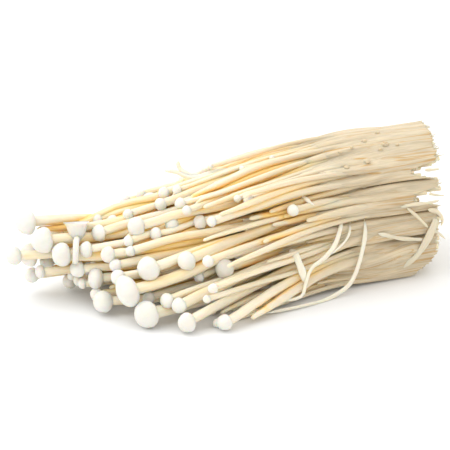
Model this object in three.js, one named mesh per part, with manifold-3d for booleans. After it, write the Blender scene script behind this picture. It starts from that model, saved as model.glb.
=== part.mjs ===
// Enoki mushroom bunch, lying on its side: long thin stems, each with a small domed cap, packed side by side
// and grown together at the cut end. The bunch has torn into clumps along its length, and each clump is one
// solid: its stems and caps, fused to a slimmer core of grown-together base tissue.
//
// Millimetres, +Z up. +X runs along the stems to the cut end, and the caps point to -X. The bunch rests on
// z = 0. The lines below are laid out about the bunch's middle, and the origin of the whole is then set on the
// flat that the base rests on, near the cut end.
import * as THREE from "three";
import { mergeVertices } from "three/addons/utils/BufferGeometryUtils.js";
import Module from "manifold-3d";

const wasm = await Module();
wasm.setup();

// ---- driving dimensions ----

const FOOT_X = 55; // the middle of the flat that the base rests on
const ROOT_X = 66; // the plane that the stems' roots are counted on
const CUT_X = 64; // where the knife met the bunch at y = 0
const CUT_SLANT = 0.22; // how far the cut runs to +X for each millimetre of y
const CUT_RAGGED = 1.2; // how far single stems end before or after the cut
const TORN_CORNER = 8.3; // how far the lower front corner of the cut is torn back at the surface
const TORN_HEIGHT = 7;
const TORN_Y = [-8, 2]; // it is torn back fully before the first y, and not at all beyond the second
const REAR_SHORTER = 5.5; // how much shorter the rear clumps are cut
const REAR_BLEND = 4;
const WEDGE_FRONT_Y = -8; // the clumps part in wedges at the cut, given by z and half height at this y
const WEDGE_FALL = 0.38; // how far a wedge sinks for each millimetre of y
const WEDGE_STEEPNESS = 1.6; // 1 is a sharp wedge, and more is a blunt one
const WEDGES = [
  { z: 31.0, half: 2.8, depth: 8 },
  { z: 22.8, half: 3.0, depth: 7.5 },
];
const PARTING = 0.7; // how far the roots of two front clumps are pushed apart, by the border between them
const PARTING_REACH = 3;
const FIRST_STATION_X = 70;
const STATION_STEP = 4; // stems are laid out on planes of equal x, this far apart
const STATIONS = 34;

const BEND_X = 32; // stems lie side by side beyond this x, and spread before it
const BEND_SOFTNESS = 9;
const BEND_LENGTH = 24; // a short stem starts to spread this far behind its cap
const STRAIGHT_FROM_X = -50; // caps beyond this x follow the outline, and shorter stems run straight
const STRAIGHT_BLEND = 22;
const WANDER = 1.3; // how far a stem strays sideways from its line
const WANDER_LENGTH = [55, 100];
const ROOT_SHARE = 0.28; // a stem's radius at the root, against its diameter under the cap

const FILL_COLUMNS = 11;
const FILL_ROWS = 7;
const FILL_SPREAD = 0.97;
const FILL_CLEAR = 0.17; // of the outline's half size, between a placed cap and a filling one
const FILL_BORDER = 0.8; // the clear space between a filling one's root and the border of the rear clumps
const FILL_CAP = [2.8, 7.0]; // diameters
const FILL_SHOWN_CAP = 4; // the largest diameter on top and in front
const FILL_SHOWN = { a: -0.1, b: 0.45 }; // where the front and the top begin
const FILL_TOP_SINK = 1.5; // how much lower the highest are set
const FRONT = { a: -0.12, b: 0.9, slope: 0.53 }; // the bunch's front leans back from its foot to its top
const SHORT_STEMS = 40; // places round the base, of which the free ones get a short stem
const SHORT_CLEAR = 1.9;
const SHORT_TIP_X = [4, 24];
const SHORT_STEM = [1.8, 2.2]; // diameters

const GAP = 0.45; // clear space between the stems of two clumps
const SETTLING_STEPS = 90;
const PLACED_WEIGHT = 0.15; // how easily a placed cap is pushed aside, against a filling one

const BEND_TOLERANCE = 0.55; // a ring is left out where the stem strays less than this without it
const CORE_SIDES = 10;
const CORE_RINGS_X = [54, 46, 28, 8];
const CORE_LAST_X = 54.6; // the cut of a core stays beyond this
const CORE_SHARE = [1, 0.9, 0.74, 0.35]; // the core's width there, against its clump's
const CORE_EDGE = 0.3; // how far the core reaches past the middles of its outer stems, before that
const GROWN = 0.3; // the clear space that one clump keeps from the next
const GROWN_BEYOND = 4; // what keeps it reaches this far beyond the cut
const STRAND_SIDES = 4;
const SIDES = [{ upTo: 2.4, sides: 4 }, { upTo: 5, sides: 5 }, { upTo: Infinity, sides: 6 }]; // by diameter
const STEM_CLEAR = 0.9;

const STEM_COLOUR = 0xe9dcb8;

// The outline of the whole bunch: at x, its middle and half size in y, and in z.
const OUTLINE = [
  { x: -62, y: 5, halfY: 16, z: 13.0, halfZ: 11.5 },
  { x: -44, y: 4, halfY: 22, z: 12.4, halfZ: 11.8 },
  { x: -32, y: 3, halfY: 28, z: 12.8, halfZ: 12.6 },
  { x: -20, y: 1, halfY: 33, z: 14.2, halfZ: 14.2 },
  { x: -8, y: 1, halfY: 33, z: 16.2, halfZ: 16.2 },
  { x: 4, y: 3, halfY: 29, z: 17.6, halfZ: 17.6 },
  { x: 18, y: 5, halfY: 25, z: 19.0, halfZ: 19.0 },
  { x: 34, y: 6, halfY: 21, z: 19.8, halfZ: 19.8 },
  { x: 50, y: 6, halfY: 20, z: 20.0, halfZ: 20.0 },
  { x: 66, y: 6, halfY: 19, z: 20.0, halfZ: 19.8 },
];
const CORNER_ROUNDING = 0.85; // at the base the outline's corners are rounded, where 0 is square
const UNDERSIDE_ROUNDING = 0.17;
const ROUNDED_FROM_X = 0;
const ROUNDED_BY_X = 45;

// Mushrooms with a place of their own: the cap's centre x, y, z, its diameter and height, the stem's diameter
// under it, and the root's y, z where the stem doesn't come straight from behind.
const PLACED = [
  // the longest, at the far end
  [-61.0, 5.0, 14.0, 5.4, 4.5, 2.6],
  [-56.5, 8.0, 22.5, 7.6, 5.2, 3.0, 9, 15],
  [-56.0, 8.0, 12.5, 7.2, 5.0, 2.8],
  [-55.0, 10.0, 5.5, 4.4, 4.0, 2.6],
  [-53.0, 2.0, 18.5, 7.5, 6.0, 3.0],
  [-48.5, -2.0, 15.5, 6.6, 5.0, 2.8],
  [-44.5, 8.0, 3.0, 4.4, 3.8, 2.4],
  [-44.5, -3.0, 11.0, 4.8, 3.8, 2.4],
  [-44.0, 0.0, 15.5, 6.0, 3.0, 2.4],
  [-42.0, 4.0, 20.0, 6.6, 5.0, 2.8],
  [-42.0, -4.0, 16.5, 4.6, 3.4, 2.4],
  // the front of the bunch, left
  [-40.0, -3.0, 11.5, 2.8, 2.4, 1.8],
  [-40.0, -6.0, 8.5, 5.8, 4.0, 2.6],
  [-40.0, -7.0, 4.5, 4.0, 3.5, 2.2],
  [-39.5, -12.0, 4.0, 6.2, 5.0, 2.6],
  [-37.5, 0.0, 19.5, 4.9, 3.4, 2.4],
  [-37.0, -9.0, 16.5, 4.6, 3.6, 2.4, -6, 25],
  [-36.0, 7.0, 21.0, 3.8, 3.0, 2.2],
  [-35.5, -11.0, 14.0, 3.6, 3.2, 2.2],
  [-35.5, -14.0, 11.5, 4.4, 3.8, 2.4, -9, 22],
  [-34.5, -20.0, 9.5, 8.8, 5.6, 3.3, -10, 20.5],
  [-32.5, -5.0, 16.5, 3.6, 2.6, 2.0],
  [-32.0, 5.0, 21.0, 3.5, 3.0, 2.2],
  [-31.0, -8.5, 19.5, 3.2, 2.6, 2.0],
  [-31.0, -10.5, 17.5, 3.0, 2.6, 2.4, -8, 26.5],
  [-30.5, -24.5, 4.0, 7.4, 6.0, 3.2, -9, 9],
  [-28.5, 1.0, 24.0, 3.0, 2.8, 2.0],
  [-28.0, -6.0, 22.5, 5.6, 4.6, 2.6, -9, 29],
  [-28.0, -18.0, 14.5, 6.6, 5.6, 3.0, -9.5, 24],
  [-28.0, -18.0, 6.0, 3.4, 3.0, 2.2],
  [-27.5, 14.0, 21.5, 3.0, 2.6, 2.0],
  [-24.5, 10.0, 23.5, 4.0, 3.6, 2.2],
  [-24.5, -24.0, 7.0, 4.3, 3.2, 2.2, -10, 14],
  // the front of the bunch, right
  [-23.0, -8.0, 20.5, 4.1, 3.0, 2.2, -8, 30],
  [-22.0, -27.0, 6.5, 4.2, 3.8, 2.8, -12, 18],
  [-21.0, -31.0, 3.0, 5.8, 4.6, 2.8, -11, 15],
  [-20.0, 9.0, 25.0, 3.8, 3.6, 2.2],
  [-19.0, 1.0, 26.0, 3.8, 3.0, 2.4],
  [-18.0, -7.0, 22.5, 4.1, 3.6, 2.4, -7, 33],
  [-17.5, -19.0, 16.0, 5.2, 4.4, 3.0, -9, 26],
  [-16.5, 6.0, 27.5, 3.5, 3.0, 2.4],
  [-16.5, -10.0, 19.0, 2.4, 2.0, 1.8],
  [-13.5, -3.0, 24.0, 2.8, 2.4, 2.0],
  [-13.5, -18.0, 10.5, 3.0, 2.6, 2.0, -8, 18],
  [-11.0, -33.5, 2.6, 4.6, 3.8, 2.6, -12, 12.5],
  [-10.5, -9.0, 23.0, 4.1, 3.3, 2.4, -8, 31.5],
  [-10.0, -9.5, 20.0, 2.6, 2.4, 1.8, -9.5, 29],
  [-6.5, -19.0, 12.5, 6.0, 4.6, 2.6, -8, 17],
  [-6.0, -20.0, 8.0, 3.0, 2.6, 2.0, -9, 15],
  [-1.5, -16.0, 14.0, 2.5, 2.2, 2.2, -10, 19],
  // stunted ones on top, and one whose cap has broken off
  [-2.0, 8.0, 33.5, 1.8, 1.6, 1.4],
  [-1.0, -7.0, 26.0, 2.3, 2.0, 1.8, -6.5, 34],
  [6.0, 3.0, 33.5, 1.6, 1.4, 1.2],
  [15.5, 4.0, 35.5, 1.6, 1.4, 1.2],
  [-2.5, -31.0, 2.0, 0.0, 0.0, 2.8, -13, 10],
];

// A clump takes the stems whose roots lie in its part of the base.
const CLUMPS = [
  "top_clump",
  "middle_clump",
  "lower_clump",
  "bottom_clump",
  "rear_upper_clump",
  "rear_lower_clump",
];
const TOP_ROOTS_Z = 29;
const MIDDLE_ROOTS_Z = 20;
const LOWER_ROOTS_Z = 13.5;
const REAR_ROOTS_Y = 7.5;
const REAR_UPPER_ROOTS_Z = 14;

// Torn strands: the clump that each hangs from, its width, and its points from the root to the loose end.
const STRANDS = [
  {
    clump: "top_clump",
    width: 1.3,
    points: [[14, 6, 32], [0, 8, 31.6], [-6.5, 8, 30.6], [-11, 9.5, 31.8], [-15, 10, 33]],
  },
];

// ---- rules ----

const smooth = (t) => {
  const held = Math.min(Math.max(t, 0), 1);
  return held * held * (3 - 2 * held);
};
const softplus = (t) => Math.max(t, 0) + Math.log1p(Math.exp(-Math.abs(t)));
const mix = (from, to, share) => from + (to - from) * share;

// A seeded draw from 0 to 1 that only depends on its index and salt.
function chance(index, salt) {
  const value = Math.sin(index * 12.9898 + salt * 78.233) * 43758.5453;
  return value - Math.floor(value);
}

const stationX = (station) => FIRST_STATION_X - STATION_STEP * station;

// The bunch's outline at x, smooth through the rows of OUTLINE.
function outlineAt(x) {
  const last = OUTLINE.length - 1;
  const held = Math.min(Math.max(x, OUTLINE[0].x), OUTLINE[last].x);
  const next = Math.max(1, OUTLINE.findIndex((row) => row.x >= held));
  const [before, from, to, after] = [next - 2, next - 1, next, next + 1]
    .map((row) => OUTLINE[Math.min(Math.max(row, 0), last)]);
  const step = to.x - from.x;
  const t = (held - from.x) / step;
  const through = (key) => {
    const slopeFrom = ((to[key] - before[key]) / (to.x - before.x)) * step;
    const slopeTo = ((after[key] - from[key]) / (after.x - from.x)) * step;
    return (2 * t ** 3 - 3 * t ** 2 + 1) * from[key] + (t ** 3 - 2 * t ** 2 + t) * slopeFrom
      + (3 * t ** 2 - 2 * t ** 3) * to[key] + (t ** 3 - t ** 2) * slopeTo;
  };
  return { y: through("y"), halfY: through("halfY"), z: through("z"), halfZ: through("halfZ") };
}

// The y, z of a place in the outline, where a and b run from -1 to 1 across it and up it.
function placeAt([a, b], x) {
  const outline = outlineAt(x);
  const rounded = smooth((x - ROUNDED_FROM_X) / (ROUNDED_BY_X - ROUNDED_FROM_X));
  const rounding = rounded * (b > 0 ? CORNER_ROUNDING : UNDERSIDE_ROUNDING);
  return [
    outline.y + outline.halfY * a * Math.sqrt(1 - (rounding * b * b) / 2),
    outline.z + outline.halfZ * b * Math.sqrt(1 - (rounding * a * a) / 2),
  ];
}

// The place a, b that a point has in the outline's box.
function placeOf([x, y, z]) {
  const outline = outlineAt(x);
  return [(y - outline.y) / outline.halfY, (z - outline.z) / outline.halfZ];
}

// ---- the mushrooms' lines ----

class Mushroom {
  constructor({ tip, diameter, height, stem, root, placed = false }) {
    this.tip = [...tip];
    this.place = [...tip];
    this.diameter = diameter;
    this.height = height;
    this.stem = stem;
    this.root = parted(root ?? placeAt(placeOf(tip), ROOT_X));
    this.weight = placed ? PLACED_WEIGHT : 1;
    this.clump = clumpOf(this.root);
  }

  get capRadius() {
    return Math.max(this.diameter, this.stem) / 2;
  }

  // Lays the stem out on the stations, from the cut end to the last station behind the cap.
  layOut(index) {
    const [tipX, tipY, tipZ] = this.tip;
    const place = placeOf(this.tip);
    const straight = smooth((tipX - STRAIGHT_FROM_X) / STRAIGHT_BLEND);
    const bendX = Math.max(BEND_X, tipX + BEND_LENGTH);
    const spread = (x) => softplus((bendX - x) / BEND_SOFTNESS) / softplus((bendX - tipX) / BEND_SOFTNESS);
    const rootPlace = placeAt(place, ROOT_X);
    const endX = tipX + Math.max(this.height * 0.5, 1.5);
    this.line = [];
    this.radius = [];
    this.live = 0;
    for (let station = 0; station < STATIONS; station += 1) {
      const x = stationX(station);
      const along = Math.min(Math.max((ROOT_X - x) / (ROOT_X - tipX), 0), 1);
      const share = (spread(x) - spread(ROOT_X)) / (1 - spread(ROOT_X));
      const flow = placeAt(place, x);
      const point = [tipY, tipZ].map((tip, axis) => {
        const straightLine = mix(this.root[axis], tip, share);
        const rootShift = this.root[axis] - rootPlace[axis];
        const flowLine = flow[axis] + rootShift * smooth((x - tipX) / (ROOT_X - tipX));
        const length = mix(...WANDER_LENGTH, chance(index, 8 + axis));
        const phase = chance(index, 6 + axis) * 2 * Math.PI;
        const stray = WANDER * Math.sin(Math.PI * along) * Math.sin((x / length) * 2 * Math.PI + phase);
        return mix(flowLine, straightLine, straight) + stray;
      });
      this.line.push(point);
      this.radius.push(this.stem * mix(ROOT_SHARE, 0.5, smooth(along * 1.15)));
      this.live += x > endX ? 1 : 0;
    }
    this.home = this.line.map((point) => [...point]);
  }

  // The radius of the cap's section at x, and 0 clear of the cap.
  capSectionAt(x) {
    return Math.sqrt(Math.max(0, this.capRadius ** 2 - (x - this.tip[0]) ** 2));
  }
}

function clumpOf([y, z]) {
  if (z > TOP_ROOTS_Z) return "top_clump";
  if (y > REAR_ROOTS_Y) return z > REAR_UPPER_ROOTS_Z ? "rear_upper_clump" : "rear_lower_clump";
  if (z > MIDDLE_ROOTS_Z) return "middle_clump";
  return z > LOWER_ROOTS_Z ? "lower_clump" : "bottom_clump";
}

// A root's place once the front clumps have parted.
function parted([y, z]) {
  if (y > REAR_ROOTS_Y) return [y, z];
  const push = [TOP_ROOTS_Z, MIDDLE_ROOTS_Z, LOWER_ROOTS_Z]
    .map((border) => (z > border ? 1 : -1) * Math.exp(-Math.abs(z - border) / PARTING_REACH));
  return [y, z + PARTING * push.reduce((sum, one) => sum + one)];
}

function placedMushrooms() {
  return PLACED.map(([x, y, z, diameter, height, stem, ...root]) => new Mushroom({
    tip: [x, y, z],
    diameter,
    height,
    stem,
    root: root.length ? root : undefined,
    placed: true,
  }));
}

// Mushrooms that fill the outline between the placed ones: one to a cell of a shaken grid.
function fillingMushrooms(placed) {
  const taken = placed.map((mushroom) => placeOf(mushroom.tip));
  const filling = [];
  for (let cell = 0; cell < FILL_COLUMNS * FILL_ROWS; cell += 1) {
    const column = (cell % FILL_COLUMNS) + 0.15 + 0.7 * chance(cell, 1);
    const row = Math.floor(cell / FILL_COLUMNS) + 0.15 + 0.7 * chance(cell, 2);
    const a = ((column / FILL_COLUMNS) * 2 - 1) * FILL_SPREAD;
    const b = ((row / FILL_ROWS) * 2 - 1) * FILL_SPREAD;
    const rounded = Math.abs(a) ** 2.5 + Math.max(b, 0) ** 2.5 < 0.95;
    const behindFront = a > FRONT.a - FRONT.slope * (FRONT.b - b);
    const free = taken.every((other) => Math.hypot(other[0] - a, other[1] - b) > FILL_CLEAR);
    const root = placeAt([a, b], ROOT_X);
    const atBorder = Math.abs(root[0] - REAR_ROOTS_Y) < FILL_BORDER;
    if (!rounded || !behindFront || !free || atBorder) continue;
    const reach = Math.min(Math.sqrt((a - 0.1) ** 2 + 0.8 * b ** 2), 1.15);
    const x = -58 + 38 * reach ** 1.5 + 14 * (chance(cell, 3) - 0.3);
    const outline = outlineAt(x);
    const largest = a < FILL_SHOWN.a || b > FILL_SHOWN.b ? FILL_SHOWN_CAP : FILL_CAP[1];
    const diameter = mix(FILL_CAP[0], largest, chance(cell, 4) ** 1.6);
    const y = outline.y + a * outline.halfY - (Math.sign(a) * a ** 2 * diameter) / 2;
    const z = outline.z + b * outline.halfZ - Math.max(b, 0) ** 2 * (diameter * 0.6 + FILL_TOP_SINK);
    filling.push(new Mushroom({
      tip: [x, y, Math.max(z, diameter / 2)],
      diameter,
      height: diameter * (0.68 + 0.2 * chance(cell, 5)),
      stem: 1.7 + 0.16 * diameter,
      root,
    }));
  }
  return filling;
}

// Short thin stems whose caps never opened, round the sides and the underside of the base, where it has room.
function shortMushrooms(others) {
  const roots = others.map((mushroom) => mushroom.root);
  const short = [];
  for (let place = 0; place < SHORT_STEMS; place += 1) {
    const turn = (2 * Math.PI * (place + 0.5 * chance(place, 11))) / SHORT_STEMS;
    const square = Math.max(Math.abs(Math.cos(turn)), Math.abs(Math.sin(turn)));
    const reach = (1 - 0.12 * chance(place, 12)) / square;
    const [a, b] = [Math.cos(turn) * reach, Math.sin(turn) * reach];
    const root = placeAt([a, b], ROOT_X);
    const free = roots.every((other) => Math.hypot(other[0] - root[0], other[1] - root[1]) > SHORT_CLEAR);
    if (!free) continue;
    roots.push(root);
    const inward = (b > 0.4 ? 0.8 : 0.93) / Math.max(1, Math.hypot(a, b));
    const x = mix(...SHORT_TIP_X, chance(place, 13));
    short.push(new Mushroom({
      tip: [x, ...placeAt([a * inward, b * inward], x)],
      diameter: 0,
      height: 0,
      stem: mix(...SHORT_STEM, chance(place, 14)),
      root,
    }));
  }
  return short;
}

// ---- settling: stems and caps that overlap push each other apart ----

const clearance = (one, other) => (one.clump === other.clump ? 0 : GAP);

// Calls push(one, other, dy, dz, distance, overlap) for the stems of each pair that overlap at a station.
function partStems(mushrooms) {
  const pushes = mushrooms.map((mushroom) => mushroom.line.map(() => [0, 0]));
  mushrooms.forEach((one, i) => {
    for (let j = i + 1; j < mushrooms.length; j += 1) {
      const other = mushrooms[j];
      const clear = clearance(one, other);
      for (let station = 0; station < Math.min(one.live, other.live); station += 1) {
        const dy = one.line[station][0] - other.line[station][0];
        const dz = one.line[station][1] - other.line[station][1];
        const distance = Math.hypot(dy, dz) + 1e-9;
        const overlap = one.radius[station] + other.radius[station] + clear - distance;
        if (overlap <= 0) continue;
        const share = (0.35 * overlap) / distance;
        pushes[i][station][0] += dy * share;
        pushes[i][station][1] += dz * share;
        pushes[j][station][0] -= dy * share;
        pushes[j][station][1] -= dz * share;
      }
    }
  });
  mushrooms.forEach((mushroom, i) => mushroom.line.forEach((point, station) => {
    point[0] += pushes[i][station][0];
    point[1] += pushes[i][station][1];
  }));
}

function partCapsFromStems(mushrooms) {
  const stemPushes = mushrooms.map((mushroom) => mushroom.line.map(() => [0, 0]));
  const capPushes = mushrooms.map(() => [0, 0]);
  mushrooms.forEach((cap, i) => {
    const sections = cap.line.map((_, station) => cap.capSectionAt(stationX(station)));
    mushrooms.forEach((stem, j) => {
      if (i === j) return;
      const clear = clearance(cap, stem);
      const most = [0, 0];
      const least = [0, 0];
      for (let station = 0; station < stem.live; station += 1) {
        if (sections[station] === 0) continue;
        const away = [0, 1].map((axis) => cap.tip[axis + 1] - stem.line[station][axis]);
        const distance = Math.hypot(...away) + 1e-9;
        const overlap = sections[station] + stem.radius[station] + clear - distance;
        if (overlap <= 0) continue;
        for (const axis of [0, 1]) {
          const push = (away[axis] * overlap) / distance;
          stemPushes[j][station][axis] -= 0.3 * push;
          most[axis] = Math.max(most[axis], push);
          least[axis] = Math.min(least[axis], push);
        }
      }
      for (const axis of [0, 1]) capPushes[i][axis] += 0.2 * cap.weight * (most[axis] + least[axis]);
    });
  });
  mushrooms.forEach((mushroom, i) => {
    mushroom.tip[1] += capPushes[i][0];
    mushroom.tip[2] += capPushes[i][1];
    mushroom.line.forEach((point, station) => {
      point[0] += stemPushes[i][station][0];
      point[1] += stemPushes[i][station][1];
    });
  });
}

function partCaps(mushrooms) {
  const pushes = mushrooms.map(() => [0, 0, 0]);
  mushrooms.forEach((one, i) => mushrooms.forEach((other, j) => {
    if (i === j) return;
    const away = one.tip.map((value, axis) => value - other.tip[axis]);
    const distance = Math.hypot(...away) + 1e-9;
    const overlap = (one.capRadius + other.capRadius) * 0.95 + clearance(one, other) - distance;
    if (overlap <= 0) return;
    away.forEach((value, axis) => {
      pushes[i][axis] += (0.4 * one.weight * value * overlap) / distance;
    });
  }));
  mushrooms.forEach((mushroom, i) => pushes[i].forEach((push, axis) => {
    mushroom.tip[axis] += push;
  }));
}

// Each stem is drawn back to its own line, smoothed, led to its cap, and kept above the surface.
function easeStems(mushrooms) {
  for (const mushroom of mushrooms) {
    const { line, home, radius, tip, place } = mushroom;
    const drawn = line.map((point, station) => point.map((value, axis) => mix(value, home[station][axis], 0.06)));
    mushroom.line = drawn.map((point, station) => {
      if (station >= mushroom.live) return [tip[1], tip[2]];
      const before = drawn[station - 1];
      const after = drawn[station + 1];
      if (!before || !after) return point;
      return point.map((value, axis) => 0.5 * value + 0.25 * (before[axis] + after[axis]));
    });
    for (const [station, point] of mushroom.line.entries()) point[1] = Math.max(point[1], radius[station]);
    tip[2] = Math.max(tip[2], mushroom.capRadius * 0.97);
    if (mushroom.weight < 1) tip.forEach((value, axis) => { tip[axis] = mix(value, place[axis], 0.1); });
  }
}

function settle(mushrooms) {
  for (let step = 0; step < SETTLING_STEPS; step += 1) {
    partStems(mushrooms);
    partCapsFromStems(mushrooms);
    partCaps(mushrooms);
    easeStems(mushrooms);
  }
}

// ---- solids ----

function middle(points) {
  return points.reduce((sum, point) => sum.add(point), new THREE.Vector3()).divideScalar(points.length);
}

// A closed body through rings of equal point counts, run from the cut end to the tip, with a point at each end.
function loft(rings, tip = middle(rings.at(-1))) {
  const sides = rings[0].length;
  const vertices = [...rings.flat(), middle(rings[0]), tip];
  const [start, end] = [vertices.length - 2, vertices.length - 1];
  const lastRing = (rings.length - 1) * sides;
  const triangles = [];
  for (let side = 0; side < sides; side += 1) {
    const next = (side + 1) % sides;
    triangles.push(start, side, next, end, lastRing + next, lastRing + side);
    for (let ring = 0; ring < rings.length - 1; ring += 1) {
      const [here, there] = [ring * sides, (ring + 1) * sides];
      triangles.push(here + side, there + next, here + next, here + side, there + side, there + next);
    }
  }
  const geometry = new THREE.BufferGeometry();
  const positions = vertices.flatMap((vertex) => vertex.toArray());
  geometry.setAttribute("position", new THREE.Float32BufferAttribute(positions, 3));
  geometry.setIndex(triangles);
  return geometry;
}

function toSolid(geometry) {
  const bare = geometry.clone();
  bare.deleteAttribute("normal");
  bare.deleteAttribute("uv");
  const merged = mergeVertices(bare, 1e-4);
  return new wasm.Manifold(new wasm.Mesh({
    numProp: 3,
    vertProperties: new Float32Array(merged.attributes.position.array),
    triVerts: new Uint32Array(merged.index.array),
  }));
}

function toGeometry(solid) {
  const { vertProperties, triVerts } = solid.getMesh();
  const geometry = new THREE.BufferGeometry();
  geometry.setAttribute("position", new THREE.BufferAttribute(vertProperties, 3));
  geometry.setIndex(new THREE.BufferAttribute(triVerts, 1));
  geometry.computeVertexNormals();
  return geometry;
}

const join = (solids) => solids.reduce((whole, solid) => whole.add(solid));
const largestBody = (solid) => (
  solid.decompose().reduce((best, body) => (body.volume() > best.volume() ? body : best)));

// A ring square to a direction that mostly runs along X.
function ringAcross(centre, direction, radius, sides, turn) {
  const across = new THREE.Vector3(0, 0, 1).cross(direction).normalize();
  const up = direction.clone().cross(across);
  return Array.from({ length: sides }, (_, side) => {
    const angle = turn - (2 * Math.PI * side) / sides;
    return centre.clone()
      .addScaledVector(across, radius * Math.cos(angle))
      .addScaledVector(up, radius * Math.sin(angle));
  });
}

// Leaves out the inner points of a line that strays less than the tolerance without them.
function keepBends(points) {
  if (points.length < 3) return points;
  const chord = new THREE.Line3(points[0], points.at(-1));
  const nearest = new THREE.Vector3();
  const strays = points.map((point) => chord.closestPointToPoint(point, true, nearest).distanceTo(point));
  const worst = strays.indexOf(Math.max(...strays));
  if (strays[worst] < BEND_TOLERANCE) return [points[0], points.at(-1)];
  return [...keepBends(points.slice(0, worst + 1)).slice(0, -1), ...keepBends(points.slice(worst))];
}

// The cap's profile from its neck to its crown: how far along the cap's height, and the share of its radius.
const NECK_LENGTH = 2; // straight stem behind the cap
const CAP_PROFILE = [
  { along: -0.4, share: 0.66 },
  { along: -0.12, share: 1.03 },
  { along: 0.27, share: 0.8 },
];
const SMALL_CAP = 4; // a diameter
const SMALL_CAP_PROFILE = [
  { along: -0.3, share: 0.96 },
  { along: 0.2, share: 0.9 },
];

// The x of the cut end at y, z, as one stem meets it.
function cutXAt([y, z], index) {
  const low = Math.max(1 - z / TORN_HEIGHT, 0) ** 1.5;
  const front = smooth((TORN_Y[1] - y) / (TORN_Y[1] - TORN_Y[0]));
  const rear = smooth((y - REAR_ROOTS_Y) / REAR_BLEND) * smooth((TOP_ROOTS_Z - z) / REAR_BLEND + 0.5);
  const zInFront = z + WEDGE_FALL * (y - WEDGE_FRONT_Y);
  const wedges = WEDGES.map((wedge) => {
    const inside = Math.max(1 - Math.abs(zInFront - wedge.z) / wedge.half, 0);
    return wedge.depth * Math.min(inside * WEDGE_STEEPNESS, 1);
  });
  const shorter = Math.max(TORN_CORNER * low * front, REAR_SHORTER * rear, ...wedges);
  return CUT_X + CUT_SLANT * y - shorter + CUT_RAGGED * (chance(index, 21) - 0.5);
}

function mushroomSolid(mushroom, index, grown) {
  const { line, radius, live, diameter, height, stem } = mushroom;
  const tip = new THREE.Vector3(...mushroom.tip);
  const endX = cutXAt(line[1], index);
  const behind = line.slice(0, live)
    .map(([y, z], station) => new THREE.Vector3(stationX(station), y, z))
    .filter((point) => point.x < endX - 1 && point.distanceTo(tip) > 0.5 * height + NECK_LENGTH);
  const first = behind[0].clone().setX(endX);
  const path = keepBends([first, ...behind]);
  if (grown > 0) path.unshift(first.clone().setX(endX + GROWN_BEYOND));
  const turn = 2 * Math.PI * chance(index, 22);
  const sides = SIDES.find(({ upTo }) => Math.max(diameter, stem) < upTo).sides;
  const radiusAt = (x) => radius[Math.max(Math.round((FIRST_STATION_X - x) / STATION_STEP), 0)];
  const rings = path.map((point, step) => {
    const direction = (path[step + 1] ?? tip).clone().sub(path[step - 1] ?? point).normalize();
    return ringAcross(point, direction, radiusAt(point.x) * STEM_CLEAR + grown, sides, turn);
  });
  const axis = tip.clone().sub(path.at(-1)).normalize();
  const ringOnAxis = (along, ringRadius) => (
    ringAcross(tip.clone().addScaledVector(axis, along), axis, ringRadius, sides, turn));
  if (diameter === 0) return toSolid(loft([...rings, ringOnAxis(0, stem * 0.42 + grown)]));
  rings.push(ringOnAxis(-0.5 * height, stem * 0.5 + grown));
  const profile = diameter < SMALL_CAP ? SMALL_CAP_PROFILE : CAP_PROFILE;
  for (const { along, share } of profile) {
    rings.push(ringOnAxis(along * height, (diameter / 2) * share + grown));
  }
  return toSolid(loft(rings, tip.clone().addScaledVector(axis, 0.5 * height + grown)));
}

// The y, z of a stem's middle at x.
function stemAt({ line }, x) {
  const station = Math.min(Math.max((FIRST_STATION_X - x) / STATION_STEP, 0), STATIONS - 2);
  const share = station - Math.floor(station);
  return [0, 1].map((axis) => mix(line[Math.floor(station)][axis], line[Math.floor(station) + 1][axis], share));
}

// The core's section at x: round the middles of the clump's stems, so that the outer ones stand half out of it.
function coreRing(members, x, share, grown) {
  const middles = members.filter(({ tip }) => tip[0] < x - STATION_STEP).map((mushroom) => stemAt(mushroom, x));
  const centre = [0, 1].map((axis) => middles.reduce((sum, point) => sum + point[axis], 0) / middles.length);
  const angles = Array.from({ length: CORE_SIDES }, (_, side) => (2 * Math.PI * side) / CORE_SIDES);
  const support = angles.map((angle) => share * Math.max(...middles.map(([y, z]) => (
    (y - centre[0]) * Math.cos(angle) + (z - centre[1]) * Math.sin(angle)))) + CORE_EDGE + grown);
  // where each pair of neighbouring support lines meets
  const turn = (2 * Math.PI) / CORE_SIDES;
  return angles.map((angle, side) => {
    const [here, next] = [support[side], support[(side + 1) % CORE_SIDES]];
    const sideways = (next - here * Math.cos(turn)) / Math.sin(turn);
    return new THREE.Vector3(
      x,
      centre[0] + here * Math.cos(angle) - sideways * Math.sin(angle),
      centre[1] + here * Math.sin(angle) + sideways * Math.cos(angle),
    );
  });
}

function coreSolid(members, grown) {
  const cut = coreRing(members, CORE_RINGS_X[0], CORE_SHARE[0], grown);
  cut.forEach((point, side) => point.setX(Math.max(cutXAt([point.y, point.z], side), CORE_LAST_X)));
  const beyond = grown > 0 ? [cut.map((point) => point.clone().setX(point.x + GROWN_BEYOND))] : [];
  const rings = CORE_RINGS_X.map((x, ring) => coreRing(members, x, CORE_SHARE[ring], grown));
  return toSolid(loft([...beyond, cut, ...rings]));
}

function strandSolid({ width, points }, grown) {
  const path = points.map((point) => new THREE.Vector3(...point));
  const rings = path.map((point, step) => {
    const direction = (path[step + 1] ?? point).clone().sub(path[step - 1] ?? point).normalize();
    return ringAcross(point, direction, width / 2 + grown, STRAND_SIDES, Math.PI / STRAND_SIDES);
  });
  return toSolid(loft(rings));
}

// A clump's stems, caps and strands, without its core.
function stemsSolid(name, mushrooms, grown = 0) {
  return join([
    ...mushrooms.flatMap((mushroom, index) => (
      mushroom.clump === name ? [mushroomSolid(mushroom, index, grown)] : [])),
    ...STRANDS.filter(({ clump }) => clump === name).map((strand) => strandSolid(strand, grown)),
  ]);
}

// ---- the bunch ----

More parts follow.
